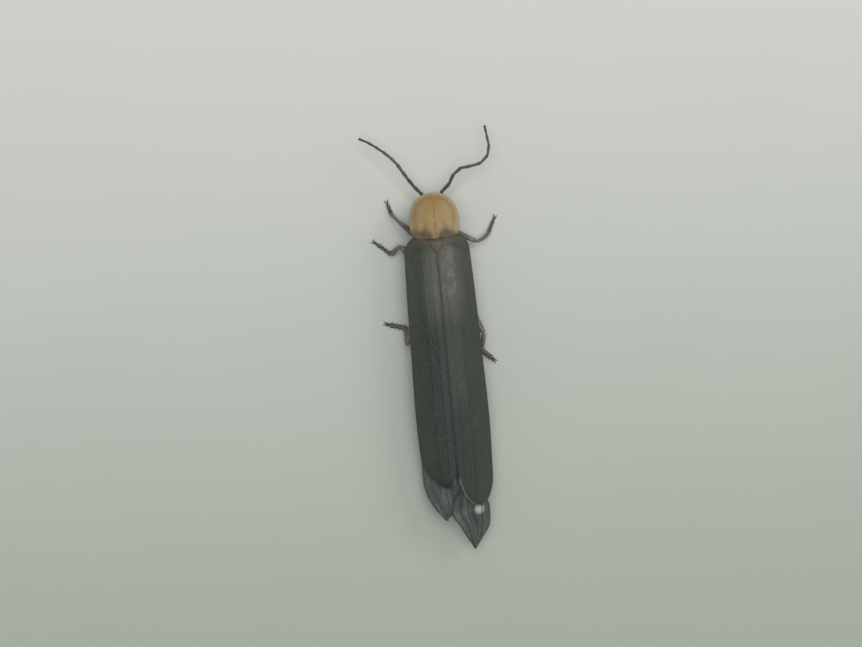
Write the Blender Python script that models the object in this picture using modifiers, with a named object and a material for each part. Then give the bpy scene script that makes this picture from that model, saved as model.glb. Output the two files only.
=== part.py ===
"""A male firefly at life size, standing with its legs spread and its wing cases shut.

A point is given by how far it lies behind the front of the shield (back), to the right of the
body's axis (side) and above the floor (up), in millimetres. The head looks along +Y.
"""

import math

import bmesh
import bpy
from mathutils import Vector

MM = 0.001
GAP = 0.2  # air between neighbouring pieces
MERGE = 1e-7  # metres, welds only points that coincide

# The whole insect
BACK_TOP = 2.5  # highest line of the back
CREST_AT = 4.5  # where the back is highest
FRONT_DROP = 0.3  # how much lower the shoulders lie
TAIL_DROP = 0.35  # how much lower the ends of the wing cases lie

# Shield over the head
SHIELD_HALF_WIDTH = 1.0
SHIELD_FRONT = 1.15  # length of its rounded front part
SHIELD_REAR = 0.63  # length of its squarer rear part
SHIELD_RIM_UP = 1.92
SHIELD_DOME = 0.38
SHIELD_NAPE = 0.42  # how far the dome reaches back towards the wing cases
SHIELD_BODY = 0.14  # how far it hangs below its rim

# Wing cases
CASE_FRONT = 1.98
CASE_THICK = 0.5
CASE_DROP = 1.05  # how far the sides fall below the back
# Where each rounded end starts, its length, and how far from the axis its tip lies
CASE_ENDS = {-1: (10.4, 1.34, 0.25), 1: (11.2, 1.3, 0.77)}
CASE_TIP_TURN = math.radians(82)
CASE_RIBS = (3, 6, 9, 12)  # columns of the grid that carry a rib
CASE_COLUMNS = 14
CASE_ROWS = 24
RIB_UP = 0.05
SHOULDER_END = 2.3

# Hind wings, folded under the cases
WING_DEPTH = 0.7  # how far their top lies below the line of the back
WING_THICK = 0.5
WING_FROM = 4.9
WING_SAG = 0.45
WING_DIP = 0.24  # how much lower they lie where they widen under the ends of the cases
WING_DIP_FROM = 10.3
WING_COLUMNS = 8
WING_ROWS = 26
WING_VEINS = (2, 4, 6)  # columns of the grid that carry a vein
# Each wing's inner and outer edge, as (back, side) points, and where its tip lies
WING_EDGES = {
    -1: (
        ((11.0, 0.15), (12.0, 0.2), (12.3, 0.34), (12.6, 0.5), (12.87, 0.58), (13.1, 0.6)),
        (
            (10.5, 0.5),
            (10.9, 0.95),
            (11.2, 1.3),
            (11.5, 1.4),
            (12.12, 1.32),
            (12.5, 1.12),
            (12.73, 0.97),
            (12.95, 0.8),
            (13.1, 0.66),
        ),
        13.1,
    ),
    1: (
        (
            (11.0, 0.12),
            (12.2, 0.1),
            (12.5, -0.08),
            (12.87, -0.32),
            (13.35, -0.14),
            (13.87, 0.12),
            (14.36, 0.38),
        ),
        (
            (11.0, 0.5),
            (11.6, 0.5),
            (12.1, 0.8),
            (12.5, 1.1),
            (12.93, 1.15),
            (13.47, 1.08),
            (13.9, 0.79),
            (14.36, 0.44),
        ),
        14.36,
    ),
}

# Trunk
TRUNK_BOTTOM = 0.55
TRUNK_REAR = 4.7
HIP_UP = 0.62
HIP_RADIUS = 0.27
HIP_END = 0.75

# Belly: half widths and bottoms by back
BELLY_WIDTHS = (
    (4.9, 0.5),
    (5.5, 0.8),
    (7.0, 1.05),
    (8.5, 1.1),
    (10.0, 0.94),
    (11.0, 0.7),
    (11.6, 0.56),
    (12.1, 0.48),
    (12.45, 0.25),
)
BELLY_BOTTOMS = ((4.9, 0.35), (6.0, 0.1), (7.0, -0.03), (10.5, -0.03), (12.0, 0.1), (12.45, 0.16))
BELLY_AIR = 0.38  # between it and the hind wings
BELLY_TAIL_DROP = 0.1
BELLY_TAIL_FROM = 11.6
BELLY_TAIL = 12.45

# Each leg's hip, knee, ankle and toe
LEGS = {
    "foreleg_left": ((1.6, -0.8, 0.68), (0.95, -1.45, 1.1), (0.6, -1.66, 0.3), (0.22, -1.82, 0.12)),
    "foreleg_right": ((1.6, 0.8, 0.68), (2.09, 1.66, 0.75), (1.81, 2.1, 0.28), (1.3, 2.42, 0.12)),
    "midleg_left": ((2.7, -0.95, 0.62), (2.05, -1.5, 0.75), (2.25, -1.88, 0.28), (1.75, -2.46, 0.12)),
    "midleg_right": ((2.7, 0.95, 0.62), (3.4, 1.2, 0.72), (3.8, 1.24, 0.28), (4.15, 1.25, 0.12)),
    "hindleg_left": ((4.4, -0.95, 0.62), (5.95, -1.56, 0.88), (5.32, -1.68, 0.3), (5.08, -2.3, 0.12)),
    "hindleg_right": ((4.4, 0.95, 0.62), (5.73, 1.6, 0.88), (6.36, 1.54, 0.28), (6.8, 1.84, 0.12)),
}
LEG_RADIUS = 0.26
SHIN_RADIUS = 0.25
FEELER_RADIUS = 0.25
FEELER_JOINTS = 11

CHITIN = (0.035, 0.037, 0.036)
HORN = (0.16, 0.15, 0.12)
AMBER = (0.62, 0.34, 0.10)
IVORY = (0.72, 0.68, 0.48)
SMOKE = (0.09, 0.11, 0.105)


def at(back, side, up):
    """The place in metres of a point given in millimetres from the front of the shield."""
    return Vector((side * MM, -back * MM, up * MM))


def clear_scene():
    for thing in list(bpy.data.objects):
        bpy.data.objects.remove(thing)


def finish_of(name, colour, roughness):
    material = bpy.data.materials.new(name)
    material.use_nodes = True
    shader = material.node_tree.nodes["Principled BSDF"]
    shader.inputs["Base Color"].default_value = (*colour, 1.0)
    shader.inputs["Roughness"].default_value = roughness
    shader.inputs["Metallic"].default_value = 0.0
    return material


def face_out(bm):
    """Turns every face of a closed shape outwards."""
    bmesh.ops.recalc_face_normals(bm, faces=bm.faces)
    if bm.calc_volume(signed=True) < 0:
        bmesh.ops.reverse_faces(bm, faces=bm.faces)


def object_from(bm, name, collection):
    mesh = bpy.data.meshes.new(name)
    bm.to_mesh(mesh)
    bm.free()
    thing = bpy.data.objects.new(name, mesh)
    collection.objects.link(thing)
    return thing


def dressed(thing, colour, roughness):
    thing.data.materials.clear()
    thing.data.materials.append(finish_of(thing.name, colour, roughness))
    thing.data.shade_smooth()
    thing.data.set_sharp_from_angle(angle=math.radians(40))
    return thing


def curve_value(points, x):
    """A smooth curve through (x, y) points, read at x."""
    if x <= points[0][0]:
        return points[0][1]
    if x >= points[-1][0]:
        return points[-1][1]
    i = max(k for k in range(len(points) - 1) if points[k][0] <= x)

    def slope(k):
        low, high = max(k - 1, 0), min(k + 1, len(points) - 1)
        return (points[high][1] - points[low][1]) / (points[high][0] - points[low][0])

    (x0, y0), (x1, y1) = points[i], points[i + 1]
    run = x1 - x0
    u = (x - x0) / run
    start = (1 + 2 * u) * (1 - u) ** 2 * y0 + u * (1 - u) ** 2 * run * slope(i)
    end = u * u * (3 - 2 * u) * y1 + u * u * (u - 1) * run * slope(i + 1)
    return start + end


def back_height(back):
    """The line of the back, seen from the side."""
    if back < CREST_AT:
        return BACK_TOP - FRONT_DROP * ((CREST_AT - back) / 2.75) ** 2.2
    return BACK_TOP - TAIL_DROP * ((back - CREST_AT) / 8) ** 1.8


def wing_dip(back):
    """How far the hind wings drop towards the ends of the wing cases."""
    run = min(max(back - WING_DIP_FROM, 0) / 0.8, 1)
    return WING_DIP * run * run * (3 - 2 * run)


def sheet(name, collection, columns, rows, place, thickness, share=None, ribs=None):
    """A grid bent by place(across, along), both from 0 to 1, with its wall grown downwards.

    share(along) says how much of the thickness is left there. ribs(across, along) says how far
    the upper face alone is raised there, once the wall has its even thickness.
    """
    bm = bmesh.new()
    bmesh.ops.create_grid(bm, x_segments=columns, y_segments=rows, size=1)
    weights, lifts = [], []
    for vertex in bm.verts:
        across, along = (vertex.co.x + 1) / 2, (vertex.co.y + 1) / 2
        vertex.co = place(across, along)
        weights.append(share(along) if share else 1.0)
        lifts.append(ribs(across, along) * MM if ribs else 0.0)
    bmesh.ops.triangulate(bm, faces=bm.faces)
    bm.normal_update()
    if sum(face.normal.z for face in bm.faces) < 0:
        bmesh.ops.reverse_faces(bm, faces=bm.faces)
    smooth = object_from(bm, name + "_smooth", collection)
    wall = smooth.modifiers.new("Wall", "SOLIDIFY")
    wall.thickness = thickness * MM
    wall.offset = -1
    wall.vertex_group = "Wall"
    group = smooth.vertex_groups.new(name="Wall")
    for index, weight in enumerate(weights):
        group.add([index], weight, "REPLACE")
    graph = bpy.context.evaluated_depsgraph_get()
    mesh = bpy.data.meshes.new_from_object(smooth.evaluated_get(graph))
    bpy.data.objects.remove(smooth)
    for vertex, lift in zip(mesh.vertices, lifts):
        vertex.co.z += lift
    thing = bpy.data.objects.new(name, mesh)
    collection.objects.link(thing)
    return thing


def ball(name, collection, around, rings, place):
    """A sphere reshaped by place(turn, ring): the angle round it, and 0 to 1 from pole to pole."""
    bm = bmesh.new()
    bmesh.ops.create_uvsphere(bm, u_segments=around, v_segments=rings, radius=1)
    for vertex in bm.verts:
        turn = math.atan2(vertex.co.y, vertex.co.x)
        ring = 1 - math.acos(max(-1.0, min(1.0, vertex.co.z))) / math.pi
        vertex.co = place(turn, ring)
    face_out(bm)
    return object_from(bm, name, collection)


def egg(name, collection, centre, radii, around=16, rings=10):
    """An ellipsoid. centre and radii go back, side, up."""

    def place(turn, ring):
        level = math.cos(math.pi * ring)
        girth = math.sin(math.pi * ring)
        return at(
            centre[0] - radii[0] * level,
            centre[1] + radii[1] * girth * math.cos(turn),
            centre[2] + radii[2] * girth * math.sin(turn),
        )

    return ball(name, collection, around, rings, place)


def barrel(name, collection, start, end, shape, around=24, rings=12):
    """A body from start to end with flat ends. shape(back) gives half width, bottom and top."""

    def place(turn, ring):
        step = ring * rings
        run = min(max((step - 1) / (rings - 2), 0.0), 1.0)
        back = start + (end - start) * run
        half_width, bottom, top = shape(back)
        level = (top + bottom) / 2
        if step < 0.5 or step > rings - 0.5:
            return at(back, 0, level)
        across = math.copysign(abs(math.cos(turn)) ** 0.8, math.cos(turn))
        lift = math.copysign(abs(math.sin(turn)) ** 0.8, math.sin(turn))
        return at(back, half_width * across, max(level + (top - bottom) / 2 * lift, 0))

    return ball(name, collection, around, rings, place)


def path_through(points, steps):
    """Points read from a smooth curve through the given ones, steps to each stretch."""
    found = []
    for i in range(len(points) - 1):
        before, first = Vector(points[max(i - 1, 0)]), Vector(points[i])
        last, after = Vector(points[i + 1]), Vector(points[min(i + 2, len(points) - 1)])
        for k in range(steps):
            u = k / steps
            found.append(
                0.5
                * (
                    2 * first
                    + (last - before) * u
                    + (2 * before - 5 * first + 4 * last - after) * u**2
                    + (3 * first - before - 3 * last + after) * u**3
                )
            )
    found.append(Vector(points[-1]))
    return found


def tube(name, collection, points, radii, sides=2):
    """A round tube along the points, with a radius at each, as a closed mesh."""
    curve = bpy.data.curves.new(name, "CURVE")
    curve.dimensions = "3D"
    curve.bevel_depth = MM
    curve.bevel_resolution = sides
    curve.use_fill_caps = True
    spline = curve.splines.new("POLY")
    spline.points.add(len(points) - 1)
    for point, place, radius in zip(spline.points, points, radii):
        point.co = (*at(*place), 1)
        point.radius = radius
    guide = bpy.data.objects.new(name + "_guide", curve)
    collection.objects.link(guide)
    graph = bpy.context.evaluated_depsgraph_get()
    bm = bmesh.new()
    bm.from_mesh(bpy.data.meshes.new_from_object(guide.evaluated_get(graph)))
    bmesh.ops.remove_doubles(bm, verts=bm.verts, dist=MERGE)
    face_out(bm)
    bpy.data.objects.remove(guide)
    return object_from(bm, name, collection)


def keep_largest(bm):
    """Drops every closed surface but the one with the greatest volume."""
    shells = []
    left = set(bm.faces)
    while left:
        shell = {left.pop()}
        front = list(shell)
        while front:
            face = front.pop()
            near = {other for edge in face.edges for other in edge.link_faces}
            fresh = (near & left)
            left -= fresh
            shell |= fresh
            front.extend(fresh)
        shells.append(shell)

    def volume(shell):
        total = 0.0
        for face in shell:
            first = face.verts[0].co
            for a, b in zip(face.verts[1:], face.verts[2:]):
                total += first.dot(a.co.cross(b.co))
        return total

    largest = max(shells, key=volume)
    spare = [face for face in bm.faces if face not in largest]
    bmesh.ops.delete(bm, geom=spare, context="FACES")


def fuse(name, collection, pieces):
    """One closed mesh from overlapping pieces, cut level with the floor."""
    first, others = pieces[0], pieces[1:]
    group = bpy.data.collections.new(name + "_pieces")
    for piece in others:
        group.objects.link(piece)
        collection.objects.unlink(piece)
    bpy.context.scene.collection.children.link(group)
    union = first.modifiers.new("Union", "BOOLEAN")
    union.operation = "UNION"
    union.operand_type = "COLLECTION"
    union.collection = group
    graph = bpy.context.evaluated_depsgraph_get()
    bm = bmesh.new()
    bm.from_mesh(bpy.data.meshes.new_from_object(first.evaluated_get(graph)))
    keep_largest(bm)
    for vertex in bm.verts:
        vertex.co.z = max(vertex.co.z, 0)
    bmesh.ops.remove_doubles(bm, verts=bm.verts, dist=MERGE)
    for piece in pieces:
        bpy.data.objects.remove(piece)
    bpy.data.collections.remove(group)
    return object_from(bm, name, collection)


def shield(collection):
    """The broad plate over the head, with the underside of the front trunk and its two hips."""

    def outline(turn):
        reach, power = (SHIELD_FRONT, 2.2) if math.sin(turn) > 0 else (SHIELD_REAR, 4.5)
        wide = abs(math.cos(turn) / SHIELD_HALF_WIDTH) ** power
        deep = abs(math.sin(turn) / reach) ** power
        return (wide + deep) ** (-1 / power)

    def place(turn, ring):
        out = math.sin(math.pi * ring) ** 0.8
        radius = outline(turn) * out
        above = ring > 0.5
        crown = 1 - (out * (1 - SHIELD_NAPE * max(-math.sin(turn), 0) ** 3)) ** 3
        swell = crown * SHIELD_DOME if above else (out**3 - 1) * SHIELD_BODY
        edge = 0.12 * abs(math.cos(math.pi * ring)) ** 0.5 * (1 if above else -1)
        return at(
            SHIELD_FRONT - radius * math.sin(turn),
            radius * math.cos(turn),
            SHIELD_RIM_UP + swell + edge,
        )

    pieces = [
        ball("plate", collection, 32, 14, place),
        egg("underside", collection, (1.6, 0, 1.2), (0.18, 0.55, 0.66)),
    ]
    for side in (-1, 1):
        hip = [(1.6, 0, 0.72), (1.6, side * 0.6, 0.68)]
        pieces.append(tube("hip", collection, hip, (0.16, 0.17)))
    return dressed(fuse("pronotum", collection, pieces), AMBER, 0.45)


def head(collection):
    pieces = [
        egg("skull", collection, (0.8, 0, 1.12), (0.42, 0.22, 0.36)),
        egg("brow", collection, (0.42, 0, 1.14), (0.1, 0.55, 0.26), around=20),
    ]
    for side in (-1, 1):
        jaw = [(0.44, side * 0.2, 1.0), (0.36, side * 0.2, 0.78), (0.34, side * 0.06, 0.62)]
        pieces.append(tube("jaw", collection, jaw, (0.1, 0.09, 0.03)))
        palp = [(0.56, side * 0.16, 0.95), (0.56, side * 0.3, 0.7), (0.48, side * 0.36, 0.5)]
        pieces.append(tube("palp", collection, palp, (0.09, 0.08, 0.1)))
    return dressed(fuse("head", collection, pieces), CHITIN, 0.4)


def eye(collection, side, name):
    """A bulging eye whose inner face is cut flat beside the skull."""
    inner = 0.22 + GAP

    def place(turn, ring):
        level = math.cos(math.pi * ring)
        girth = math.sin(math.pi * ring)
        across = max(0.46 + 0.27 * girth * math.cos(turn), inner)
        return at(1.0 - 0.27 * level, side * across, 1.12 + 0.31 * girth * math.sin(turn))

    return dressed(ball(name, collection, 18, 12, place), (0.02, 0.018, 0.016), 0.12)


def feeler(collection, name, bends):
    """A thread of eleven joints, each wider at its far end."""
    steps = 6
    points = path_through(bends, steps)
    lengths = [0.0]
    for a, b in zip(points, points[1:]):
        lengths.append(lengths[-1] + (b - a).length)

    def place_at(distance):
        i = max(k for k in range(len(points) - 1) if lengths[k] <= distance)
        share = (distance - lengths[i]) / (lengths[i + 1] - lengths[i])
        return points[i].lerp(points[i + 1], share)

    places, radii = [], []
    joint = lengths[-1] / FEELER_JOINTS
    for k in range(FEELER_JOINTS):
        taper = 1.0 if k < FEELER_JOINTS - 3 else 1.0 - 0.15 * (k - FEELER_JOINTS + 4)
        for share, swell in ((0.0, 0.96), (0.3, 1.0), (0.85, 1.1)):
            places.append(place_at((k + share) * joint))
            radii.append(FEELER_RADIUS * swell * taper)
    places.append(points[-1])
    radii.append(FEELER_RADIUS * 0.5)
    return dressed(tube(name, collection, places, radii), CHITIN, 0.55)


def trunk(collection):
    """The part that carries the wings and two pairs of legs."""

    def shape(back):
        half_width = 0.58 + 0.12 * (back - CASE_FRONT) / (TRUNK_REAR - CASE_FRONT)
        return half_width, TRUNK_BOTTOM, back_height(back) - CASE_THICK - GAP

    pieces = [barrel("box", collection, CASE_FRONT, TRUNK_REAR, shape)]
    for back in (2.7, 4.4):
        for side in (-1, 1):
            hip = [(back, 0, HIP_UP + 0.1), (back, side * HIP_END, HIP_UP)]
            pieces.append(tube("hip", collection, hip, (HIP_RADIUS, HIP_RADIUS)))
    return dressed(fuse("thorax", collection, pieces), CHITIN, 0.45)


def middle_plate(collection):
    """The small triangle between the roots of the wing cases."""
    length, half_width = 0.47, 0.3

    def place(across, along):
        side = (2 * across - 1) * half_width * (1 - 0.85 * along)
        back = CASE_FRONT + length * along
        swell = 0.04 * (1 - along) ** 2 * (1 - (2 * across - 1) ** 2)
        return at(back, side, back_height(back) + swell)

    plate = sheet("scutellum", collection, 6, 6, place, CASE_THICK)
    return dressed(plate, AMBER, 0.5)


def case_width(back):
    """Half the width of the closed wing cases before their ends narrow."""
    return curve_value([(2.3, 1.32), (4, 1.38), (6, 1.42), (9, 1.48), (11.2, 1.42)], back)


def tip_share(along):
    """A wing keeps its full thickness up to its last eighth, and thins from there to its tip."""
    return 1 - 0.55 * max(along - 0.875, 0) / 0.125


def wing_case(collection, side, name):
    """One wing case, its ribs raised in its own surface."""

    def edges(along):
        tail_from, tail, middle = CASE_ENDS[side]
        body = tail_from - CASE_FRONT
        run = along * (body + tail)
        if run < body:
            back = CASE_FRONT + run
            round_in = max(SHOULDER_END - back, 0) / 0.6
            outer = case_width(back) - 0.7 * (1 - math.sqrt(1 - round_in**2))
            notch = 0.42 * max(1 - (back - CASE_FRONT) / 0.6, 0)
            return back, GAP / 2 + notch, outer, 0.0
        turn = (run - body) / tail * CASE_TIP_TURN
        outer = middle + (case_width(tail_from) - middle) * math.cos(turn)
        inner = middle - (middle - GAP / 2) * math.cos(turn)
        return tail_from + tail * math.sin(turn), inner, outer, 1 - math.cos(turn)

    def place(across, along):
        back, inner, outer, rounding = edges(along)
        out = inner + (outer - inner) * across
        fall = CASE_DROP * (out / case_width(back)) ** 3 + 0.2 * rounding**2
        return at(back, side * out, back_height(back) - fall)

    def ribs(across, along):
        on_rib = round(across * CASE_COLUMNS) in CASE_RIBS and 0.03 < along < 0.95
        return RIB_UP if on_rib else 0

    case = sheet(name, collection, CASE_COLUMNS, CASE_ROWS, place, CASE_THICK, tip_share, ribs)
    return dressed(case, CHITIN, 0.5)


def hind_wing(collection, side, name, inner, outer, tip):
    """A folded wing with its main veins raised, its tip past the wing case."""

    def place(across, along):
        back = WING_FROM + (tip - WING_FROM) * along**0.8
        low, high = curve_value(inner, back), curve_value(outer, back)
        out = low + (high - low) * across
        droop = wing_dip(back) + 0.25 * (max(back - 12, 0) / 2.3) ** 1.5
        return at(back, side * out, back_height(back) - WING_DEPTH - WING_SAG * out**2 - droop)

    def veins(across, along):
        on_vein = round(across * WING_COLUMNS) in WING_VEINS and along < 0.94
        return RIB_UP if on_vein else 0

    wing = sheet(name, collection, WING_COLUMNS, WING_ROWS, place, WING_THICK, tip_share, veins)
    return dressed(wing, SMOKE, 0.4)


def belly_shape(back):
    """Half width, bottom and top of the belly, which rests on the floor in its middle."""
    half_width = curve_value(BELLY_WIDTHS, back)
    bottom = curve_value(BELLY_BOTTOMS, back)
    top = back_height(back) - WING_DEPTH - WING_THICK - BELLY_AIR - wing_dip(back)
    return half_width, bottom, top - BELLY_TAIL_DROP * max(back - BELLY_TAIL_FROM, 0)


def belly_part(collection, name, start, end, plates, colour):
    """A stretch of the belly with plates that overlap like tiles."""

    def shape(back):
        half_width, bottom, top = belly_shape(back)
        share = ((back - start) / (end - start) * plates) % 1.0
        swell = 1 + 0.09 * (share if back < end - 0.01 else 0.3)
        return half_width * swell, bottom - 0.02 * share, top

    part = barrel(name, collection, start, end, shape, rings=3 * plates + 2)
    return dressed(part, colour, 0.5)


def leg(collection, name, hip, knee, ankle, toe):
    """Thigh, shin, a foot of five joints and two claws."""
    side = math.copysign(1, hip[1])
    hip, knee, ankle, toe = Vector(hip), Vector(knee), Vector(ankle), Vector(toe)
    root = hip + Vector((0, 0.22 * side, 0))
    middle = root.lerp(knee, 0.5)
    pieces = [
        tube(name + "_thigh", collection, [root, middle, knee], (0.25, LEG_RADIUS + 0.03, LEG_RADIUS)),
        tube(name + "_root", collection, [hip, root + Vector((0, 0.12 * side, 0))], (0.25, 0.25)),
        egg(name + "_knee", collection, knee, (0.275, 0.275, 0.275), around=12, rings=8),
        tube(name + "_shin", collection, [knee, knee.lerp(ankle, 0.5), ankle], (SHIN_RADIUS, 0.26, 0.27)),
        egg(name + "_ankle", collection, ankle, (0.27, 0.27, 0.27), around=12, rings=8),
    ]
    places, radii = [], []
    for k in range(5):
        size = 0.25 - 0.018 * k
        for share, swell in ((0.05, 0.92), (0.75, 1.08)):
            places.append(ankle.lerp(toe, (k + share) / 5))
            radii.append(size * swell)
    places.append(toe)
    radii.append(0.14)
    pieces.append(tube(name + "_foot", collection, places, radii))
    forward = (toe - ankle).normalized()
    across = forward.cross(Vector((0, 0, 1))).normalized()
    for way in (-1, 1):
        grip = [
            toe - 0.08 * forward,
            toe + 0.1 * forward + 0.08 * way * across,
            toe + 0.18 * forward + 0.12 * way * across - Vector((0, 0, 0.06)),
        ]
        pieces.append(tube(name + "_claw", collection, grip, (0.07, 0.05, 0.02), sides=1))
    return dressed(fuse(name, collection, pieces), HORN, 0.5)


def build(collection):
    shield(collection)
    head(collection)
    for side, name in ((-1, "left"), (1, "right")):
        eye(collection, side, "eye_" + name)
        wing_case(collection, side, "elytron_" + name)
    feeler(
        collection,
        "antenna_left",
        [
            (0.04, -0.36, 1.12),
            (-0.1, -0.47, 1.17),
            (-0.35, -0.68, 1.25),
            (-0.85, -1.01, 1.35),
            (-1.38, -1.33, 1.4),
            (-1.84, -1.79, 1.4),
            (-2.24, -2.31, 1.3),
            (-2.46, -2.7, 1.2),
        ],
    )
    feeler(
        collection,
        "antenna_right",
        [
            (0.04, 0.36, 1.12),
            (-0.1, 0.5, 1.17),
            (-0.31, 0.74, 1.25),
            (-0.75, 1.01, 1.35),
            (-0.94, 1.4, 1.4),
            (-0.94, 1.86, 1.4),
            (-1.1, 2.2, 1.4),
            (-1.36, 2.41, 1.4),
            (-1.81, 2.48, 1.35),
            (-2.23, 2.4, 1.25),
            (-2.51, 2.38, 1.2),
        ],
    )
    trunk(collection)
    middle_plate(collection)
    for side, name in ((-1, "hindwing_left"), (1, "hindwing_right")):
        hind_wing(collection, side, name, *WING_EDGES[side])
    belly_part(collection, "abdomen", WING_FROM, 9.3, 4, CHITIN)
    belly_part(collection, "light_organ", 9.5, 11.4, 2, IVORY)
    belly_part(collection, "abdomen_tip", 11.6, BELLY_TAIL, 1, CHITIN)
    for name, (hip, knee, ankle, toe) in LEGS.items():
        leg(collection, name, hip, knee, ankle, toe)


def settle(collection):
    """Hangs every piece on one empty that brings the model's middle over the origin."""
    bpy.context.view_layer.update()
    graph = bpy.context.evaluated_depsgraph_get()
    corners = []
    for thing in collection.objects:
        shape = thing.evaluated_get(graph)
        corners.extend(thing.matrix_world @ vertex.co for vertex in shape.data.vertices)
    low = [min(corner[i] for corner in corners) for i in range(3)]
    high = [max(corner[i] for corner in corners) for i in range(3)]
    centre = bpy.data.objects.new("firefly", None)
    bpy.context.scene.collection.objects.link(centre)
    centre.location = (-(low[0] + high[0]) / 2, -(low[1] + high[1]) / 2, -low[2])
    for thing in list(collection.objects):
        thing.parent = centre


def main():
    clear_scene()
    collection = bpy.data.collections.new("firefly")
    bpy.context.scene.collection.children.link(collection)
    build(collection)
    settle(collection)


main()
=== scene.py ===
"""A male firefly at life size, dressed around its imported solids.

It is run as a script in Blender. A place is given in millimetres as back (behind the front of
the shield), side (to the right of the body's axis) and up (above the floor). The head looks
along +Y, and every piece keeps its place in its mesh.
"""

import math

import bmesh
import bpy
from mathutils import Matrix, Vector, noise


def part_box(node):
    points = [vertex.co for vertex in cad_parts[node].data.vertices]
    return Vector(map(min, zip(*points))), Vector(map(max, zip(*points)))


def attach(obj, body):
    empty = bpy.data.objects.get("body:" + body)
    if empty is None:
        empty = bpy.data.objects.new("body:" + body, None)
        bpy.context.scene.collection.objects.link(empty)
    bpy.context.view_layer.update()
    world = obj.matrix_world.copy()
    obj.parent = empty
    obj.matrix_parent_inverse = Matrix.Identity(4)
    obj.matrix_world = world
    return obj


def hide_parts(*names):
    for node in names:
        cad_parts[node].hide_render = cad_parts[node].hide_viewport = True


bl_info = {
    "name": "Firefly",
    "version": (1, 0, 0),
    "blender": (4, 5, 0),
    "location": "View3D > Sidebar > Firefly",
    "description": "Dresses a life-size male firefly piece by piece",
    "category": "Object",
}

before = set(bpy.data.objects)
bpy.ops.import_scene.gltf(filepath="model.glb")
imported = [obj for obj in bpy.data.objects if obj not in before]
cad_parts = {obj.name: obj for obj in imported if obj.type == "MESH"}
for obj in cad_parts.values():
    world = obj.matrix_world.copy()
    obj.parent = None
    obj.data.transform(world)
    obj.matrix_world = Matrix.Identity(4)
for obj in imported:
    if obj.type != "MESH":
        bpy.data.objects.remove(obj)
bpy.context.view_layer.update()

MM = 0.001
WELD = 1e-7
SHIELD_LOW, SHIELD_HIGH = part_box("pronotum")
AXIS_X = (SHIELD_LOW.x + SHIELD_HIGH.x) / 2
FRONT_Y = SHIELD_HIGH.y
SIDES = ((-1, "left"), (1, "right"))

# The line of the back, as the solids have it
BACK_TOP = 2.5
CREST_AT = 4.5
FRONT_DROP, FRONT_RUN = 0.3, 2.75
TAIL_DROP, TAIL_RUN = 0.35, 8

# Shield
SHIELD_HALF_WIDTH = (SHIELD_HIGH.x - SHIELD_LOW.x) / 2 / MM
SHIELD_FRONT = 1.15
SHIELD_REAR = 0.7
SHIELD_RIM_UP = 1.92
SHIELD_DOME = 0.5

# Wing cases
CASE_FRONT = 1.74
CASE_TAILS = {-1: (10.4, 1.36, 0.25), 1: (11.2, 1.38, 0.78)}  # start, length, side of the tip
CASE_DROP = 1.05
CASE_TIP_TURN = math.radians(84)
CASE_SEAM = 0.012  # half the gap between the two
SHOULDER_END, SHOULDER_LENGTH, SHOULDER_TURN_IN = 2.3, 0.6, 0.7
RIBS = (0.2, 0.44, 0.68)  # shares of the width
RIB_WIDTH = 0.028
FOLD = 0.06  # share of the width that is folded under at the outer edge

# The small plate between the roots of the wing cases
PLATE_FRONT = 1.86
PLATE_LENGTH = 0.55
PLATE_HALF_WIDTH = 0.32
PLATE_NOTCH = 0.31  # how far it parts the cases, on each side

# Hind wings
WING_DEPTH = 0.26  # below the line of the back
WING_DIP = 0.14  # lower still under the rounded ends of the cases
WING_FROM = 4.9
FOLD_APART = 0.1  # between the two folds of one wing
FOLD_SHORT = 0.35  # how much the fold underneath is shorter
PLEATS = 7
VEIN_STEPS = 60

# Trunk and belly
TRUNK_FRONT = 1.84
TRUNK_REAR = 4.95
BELLY_FROM = 4.75
LANTERN_FROM = 9.4
LANTERN_TO = 11.5
BELLY_TAIL = 12.45

# Middles and half sizes, as back, side and up
HEAD, HEAD_RADII = (0.82, 0.0, 1.12), (0.44, 0.47, 0.33)
EYE, EYE_RADII = (0.98, 0.47, 1.12), (0.27, 0.29, 0.31)
SOCKET, SOCKET_RADIUS = (0.43, 0.23, 1.13), 0.085
BREAST, BREAST_RADII = (1.52, 0.0, 1.22), (0.36, 0.6, 0.6)
HIP_BACKS = ((2.7, 0.0), (4.4, 0.1))  # middle and hind hips, and how far ahead their roots lie
SQUARE = 0.75  # power of the trunk's and the belly's section, 1 when round

STRIP_FILL = 0.96  # share of its strip of the unwrap that a part fills
HAIR_PATCH = 0.003  # width of one hair's patch of the unwrap
JOINT_OVERLAP = 1.03  # length of a feeler's joint over its way to the next one


def spot(back, side, up):
    """The place in the frame, in metres, of a point given in millimetres on the body."""
    return Vector((AXIS_X + side * MM, FRONT_Y - back * MM, up * MM))


def smooth(x, low, high):
    """0 below low and 1 above high, with a soft step between."""
    share = min(max((x - low) / (high - low), 0.0), 1.0)
    return share * share * (3 - 2 * share)


def squarish(turn, power):
    """Cosine and sine of the turn, for a round section that is squarer the lower the power."""
    return (math.copysign(abs(part) ** power, part) for part in (math.cos(turn), math.sin(turn)))


def bell(x, middle, width):
    """1 at the middle, falling off softly to both sides."""
    return math.exp(-(((x - middle) / width) ** 2))


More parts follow.
